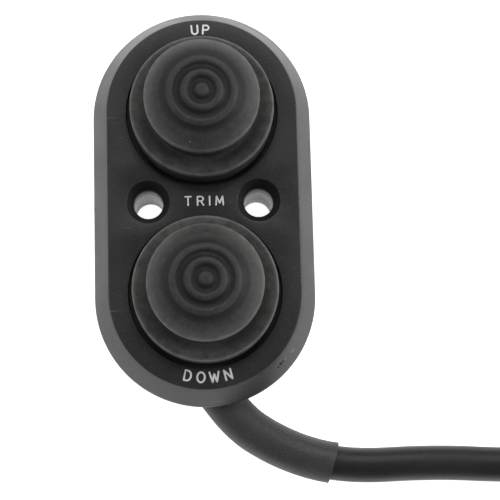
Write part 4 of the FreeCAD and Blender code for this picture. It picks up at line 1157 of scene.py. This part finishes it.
NYLON = moulded("black_tie_nylon", grey(0.014), grey(0.02), 0.4, grain=1400.0, bump=0.02,
                dust=0.3, dust_tone=0.2)
TIE_SIZES = {"Across": (6 * CABLE_RADIUS + TIE_THICKNESS) * MM,
             "Height": (4 * CABLE_RADIUS + TIE_THICKNESS) * MM,
             "Thickness": TIE_THICKNESS * MM, "Width": TIE_WIDTH * MM,
             "Corner": TIE_CORNER * MM, "Material": NYLON}
tie_places = [(COIL_RADII[1] * math.cos(math.radians(angle)),
               COIL_RADII[1] * math.sin(math.radians(angle)), 0.0) for angle in TIE_ANGLES]
strap_mesh = grown("straps", strap_tree(), place_points("tie_places", tie_places), TIE_SIZES)
strap_mesh.transform(Matrix.Translation(metres(*COIL_CENTRE, 2 * CABLE_RADIUS + TIE_THICKNESS)))
ties = mounted(coated("coil_tie_straps", strap_mesh, NYLON), "tie", "coil_ties")


# Tail cores and terminals: the three insulated copper cores at the free end. Each is crimped
# into a bullet of blue nylon, whose bronze pin plugs into the boat's wiring.
TAIL_CORE_RADIUS = 0.9
TAIL_CORE_ROUTES = {
    "common": [(183.8, -16.9, 4.2), (185.4, -9.0, 3.2), (183.2, 0.0, 1.0),
               (184.0, 10.5, 1.9), (182.4, 20.0, 1.9)],
    "up": [(185.03, -17.4, 2.1), (187.0, -9.0, 1.4), (188.4, 1.0, 0.95),
           (191.4, 10.5, 1.9), (190.8, 20.0, 1.9)],
    "down": [(186.35, -17.5, 4.4), (188.6, -10.0, 3.2), (193.6, -1.8, 1.0),
             (198.6, 6.2, 1.9), (201.0, 15.0, 1.9)],
}
TERMINAL_LENGTH = 11.0
NYLON_LENGTH = 6.6
PIN_CLEARANCE = 0.2
TERMINAL_SECTORS = 40
TERMINAL_PROFILE = [
    (0.0, 0.2), (0.95, 0.0), (1.75, 0.0), (1.88, 0.15), (1.84, 1.4), (1.72, 2.0), (1.5, 2.3),
    (1.5, 2.9), (1.72, 3.2), (1.72, 4.0), (1.5, 4.3), (1.5, 4.9), (1.72, 5.2),
    (1.72, NYLON_LENGTH), (1.15, NYLON_LENGTH), (1.15, 7.4), (1.3, 7.7), (1.3, 9.6),
    (0.95, 10.3), (0.6, TERMINAL_LENGTH), (0.0, TERMINAL_LENGTH)]
TERMINAL = moulded("blue_terminal_nylon", (0.03, 0.10, 0.34, 1), (0.04, 0.13, 0.42, 1), 0.35,
                   grain=1500.0, bump=0.02, dust=0.2, dust_tone=0.4)


def terminal_mesh(name, points):
    """A bullet terminal on the end of a core: a nylon sleeve, crimped twice, and a pin."""
    mesh = turned_mesh(name, TERMINAL_PROFILE, TERMINAL_SECTORS)
    mesh.materials.append(TERMINAL)
    mesh.materials.append(BRONZE)
    for face in mesh.polygons:
        if face.center.z > (NYLON_LENGTH + PIN_CLEARANCE) * MM:
            face.material_index = 1
    last = Vector(points[-1]) * MM
    way = last - Vector(points[-2]) * MM
    way.z = 0.0
    mesh.transform(Matrix.Translation(last) @ way.to_track_quat("Z", "Y").to_matrix().to_4x4())
    return mesh


for lead, points in TAIL_CORE_ROUTES.items():
    core = lead_piece(lead + "_tail_core", points, TAIL_CORE_RADIUS, CORES[lead],
                      CORE_TONES[lead][0], lead + "_tail_lead")
    terminal = mounted(add_object(lead + "_terminal", terminal_mesh(lead + "_bullet", points)),
                       "terminal", "tail_terminals")
    line_length(route_line(core))


# Bench and light: a plain white surface, with three soft lamps and a dim room that show the
# housing's edges and the caps' rings.
FLOOR_HALF = 5.0
FLOOR_DROP = 0.02
LAMP_AIM = Vector((0.0, 0.0, 0.01))


def make_floor():
    material = bpy.data.materials.new("white_bench")
    material.use_nodes = True
    shader = material.node_tree.nodes["Principled BSDF"].inputs
    for label, value in (("Base Color", (0.9, 0.9, 0.9, 1)), ("Roughness", 0.9),
                         ("Emission Color", (1, 1, 1, 1)), ("Emission Strength", 0.98)):
        shader[label].default_value = value
    shape = bmesh.new()
    bmesh.ops.create_grid(shape, x_segments=8, y_segments=8, size=FLOOR_HALF)
    mesh = bpy.data.meshes.new("bench_mesh")
    shape.to_mesh(mesh)
    shape.free()
    floor = coated("bench", mesh, material)
    floor.location.z = -FLOOR_DROP * MM


def make_lamp(name, place, size, energy):
    lamp = bpy.data.lights.new(name, "AREA")
    lamp.shape = "RECTANGLE"
    lamp.size, lamp.size_y = size
    lamp.energy = energy
    holder = add_object(name, lamp)
    holder.location = place
    holder.rotation_euler = (LAMP_AIM - Vector(place)).to_track_quat("-Z", "Y").to_euler()


make_floor()
make_lamp("back_panel", (0.0, 0.62, 0.78), (0.9, 0.6), 4.4)
make_lamp("left_panel", (-0.75, 0.05, 0.6), (0.4, 0.7), 1.5)
make_lamp("right_panel", (0.8, 0.05, 0.32), (0.4, 0.7), 4.2)
world = bpy.data.worlds.new("soft_room")
world.use_nodes = True
world.node_tree.nodes["Background"].inputs["Color"].default_value = (0.95, 0.97, 1.0, 1)
world.node_tree.nodes["Background"].inputs["Strength"].default_value = 0.3
bpy.context.scene.world = world
bpy.context.scene.view_settings.view_transform = "Standard"


# Camera: it looks down on the face from above the lower end, at the photograph's angle and
# distance.
CAMERA_PLACE = (-1.279, -64.516, 327.512)
CAMERA_TILT = -0.1734
CAMERA_YAW = 0.0327
CAMERA_ROLL = 0.0198
SENSOR_MM = 36.0
PHOTO_PIXELS = 500.0
FOCAL_PIXELS = 1585.87
camera_data = bpy.data.cameras.new("photo_camera")
camera_data.sensor_width = SENSOR_MM
camera_data.lens = FOCAL_PIXELS * SENSOR_MM / PHOTO_PIXELS
camera_data.clip_start = 0.01
camera = add_object("photo_camera", camera_data)
turn = (Matrix.Rotation(CAMERA_ROLL, 3, "Z") @ Matrix.Rotation(CAMERA_YAW, 3, "Y")
        @ Matrix.Rotation(CAMERA_TILT, 3, "X"))
camera.matrix_world = (Matrix.Translation(metres(*CAMERA_PLACE))
                       @ turn.transposed().to_4x4())
bpy.context.scene.camera = camera
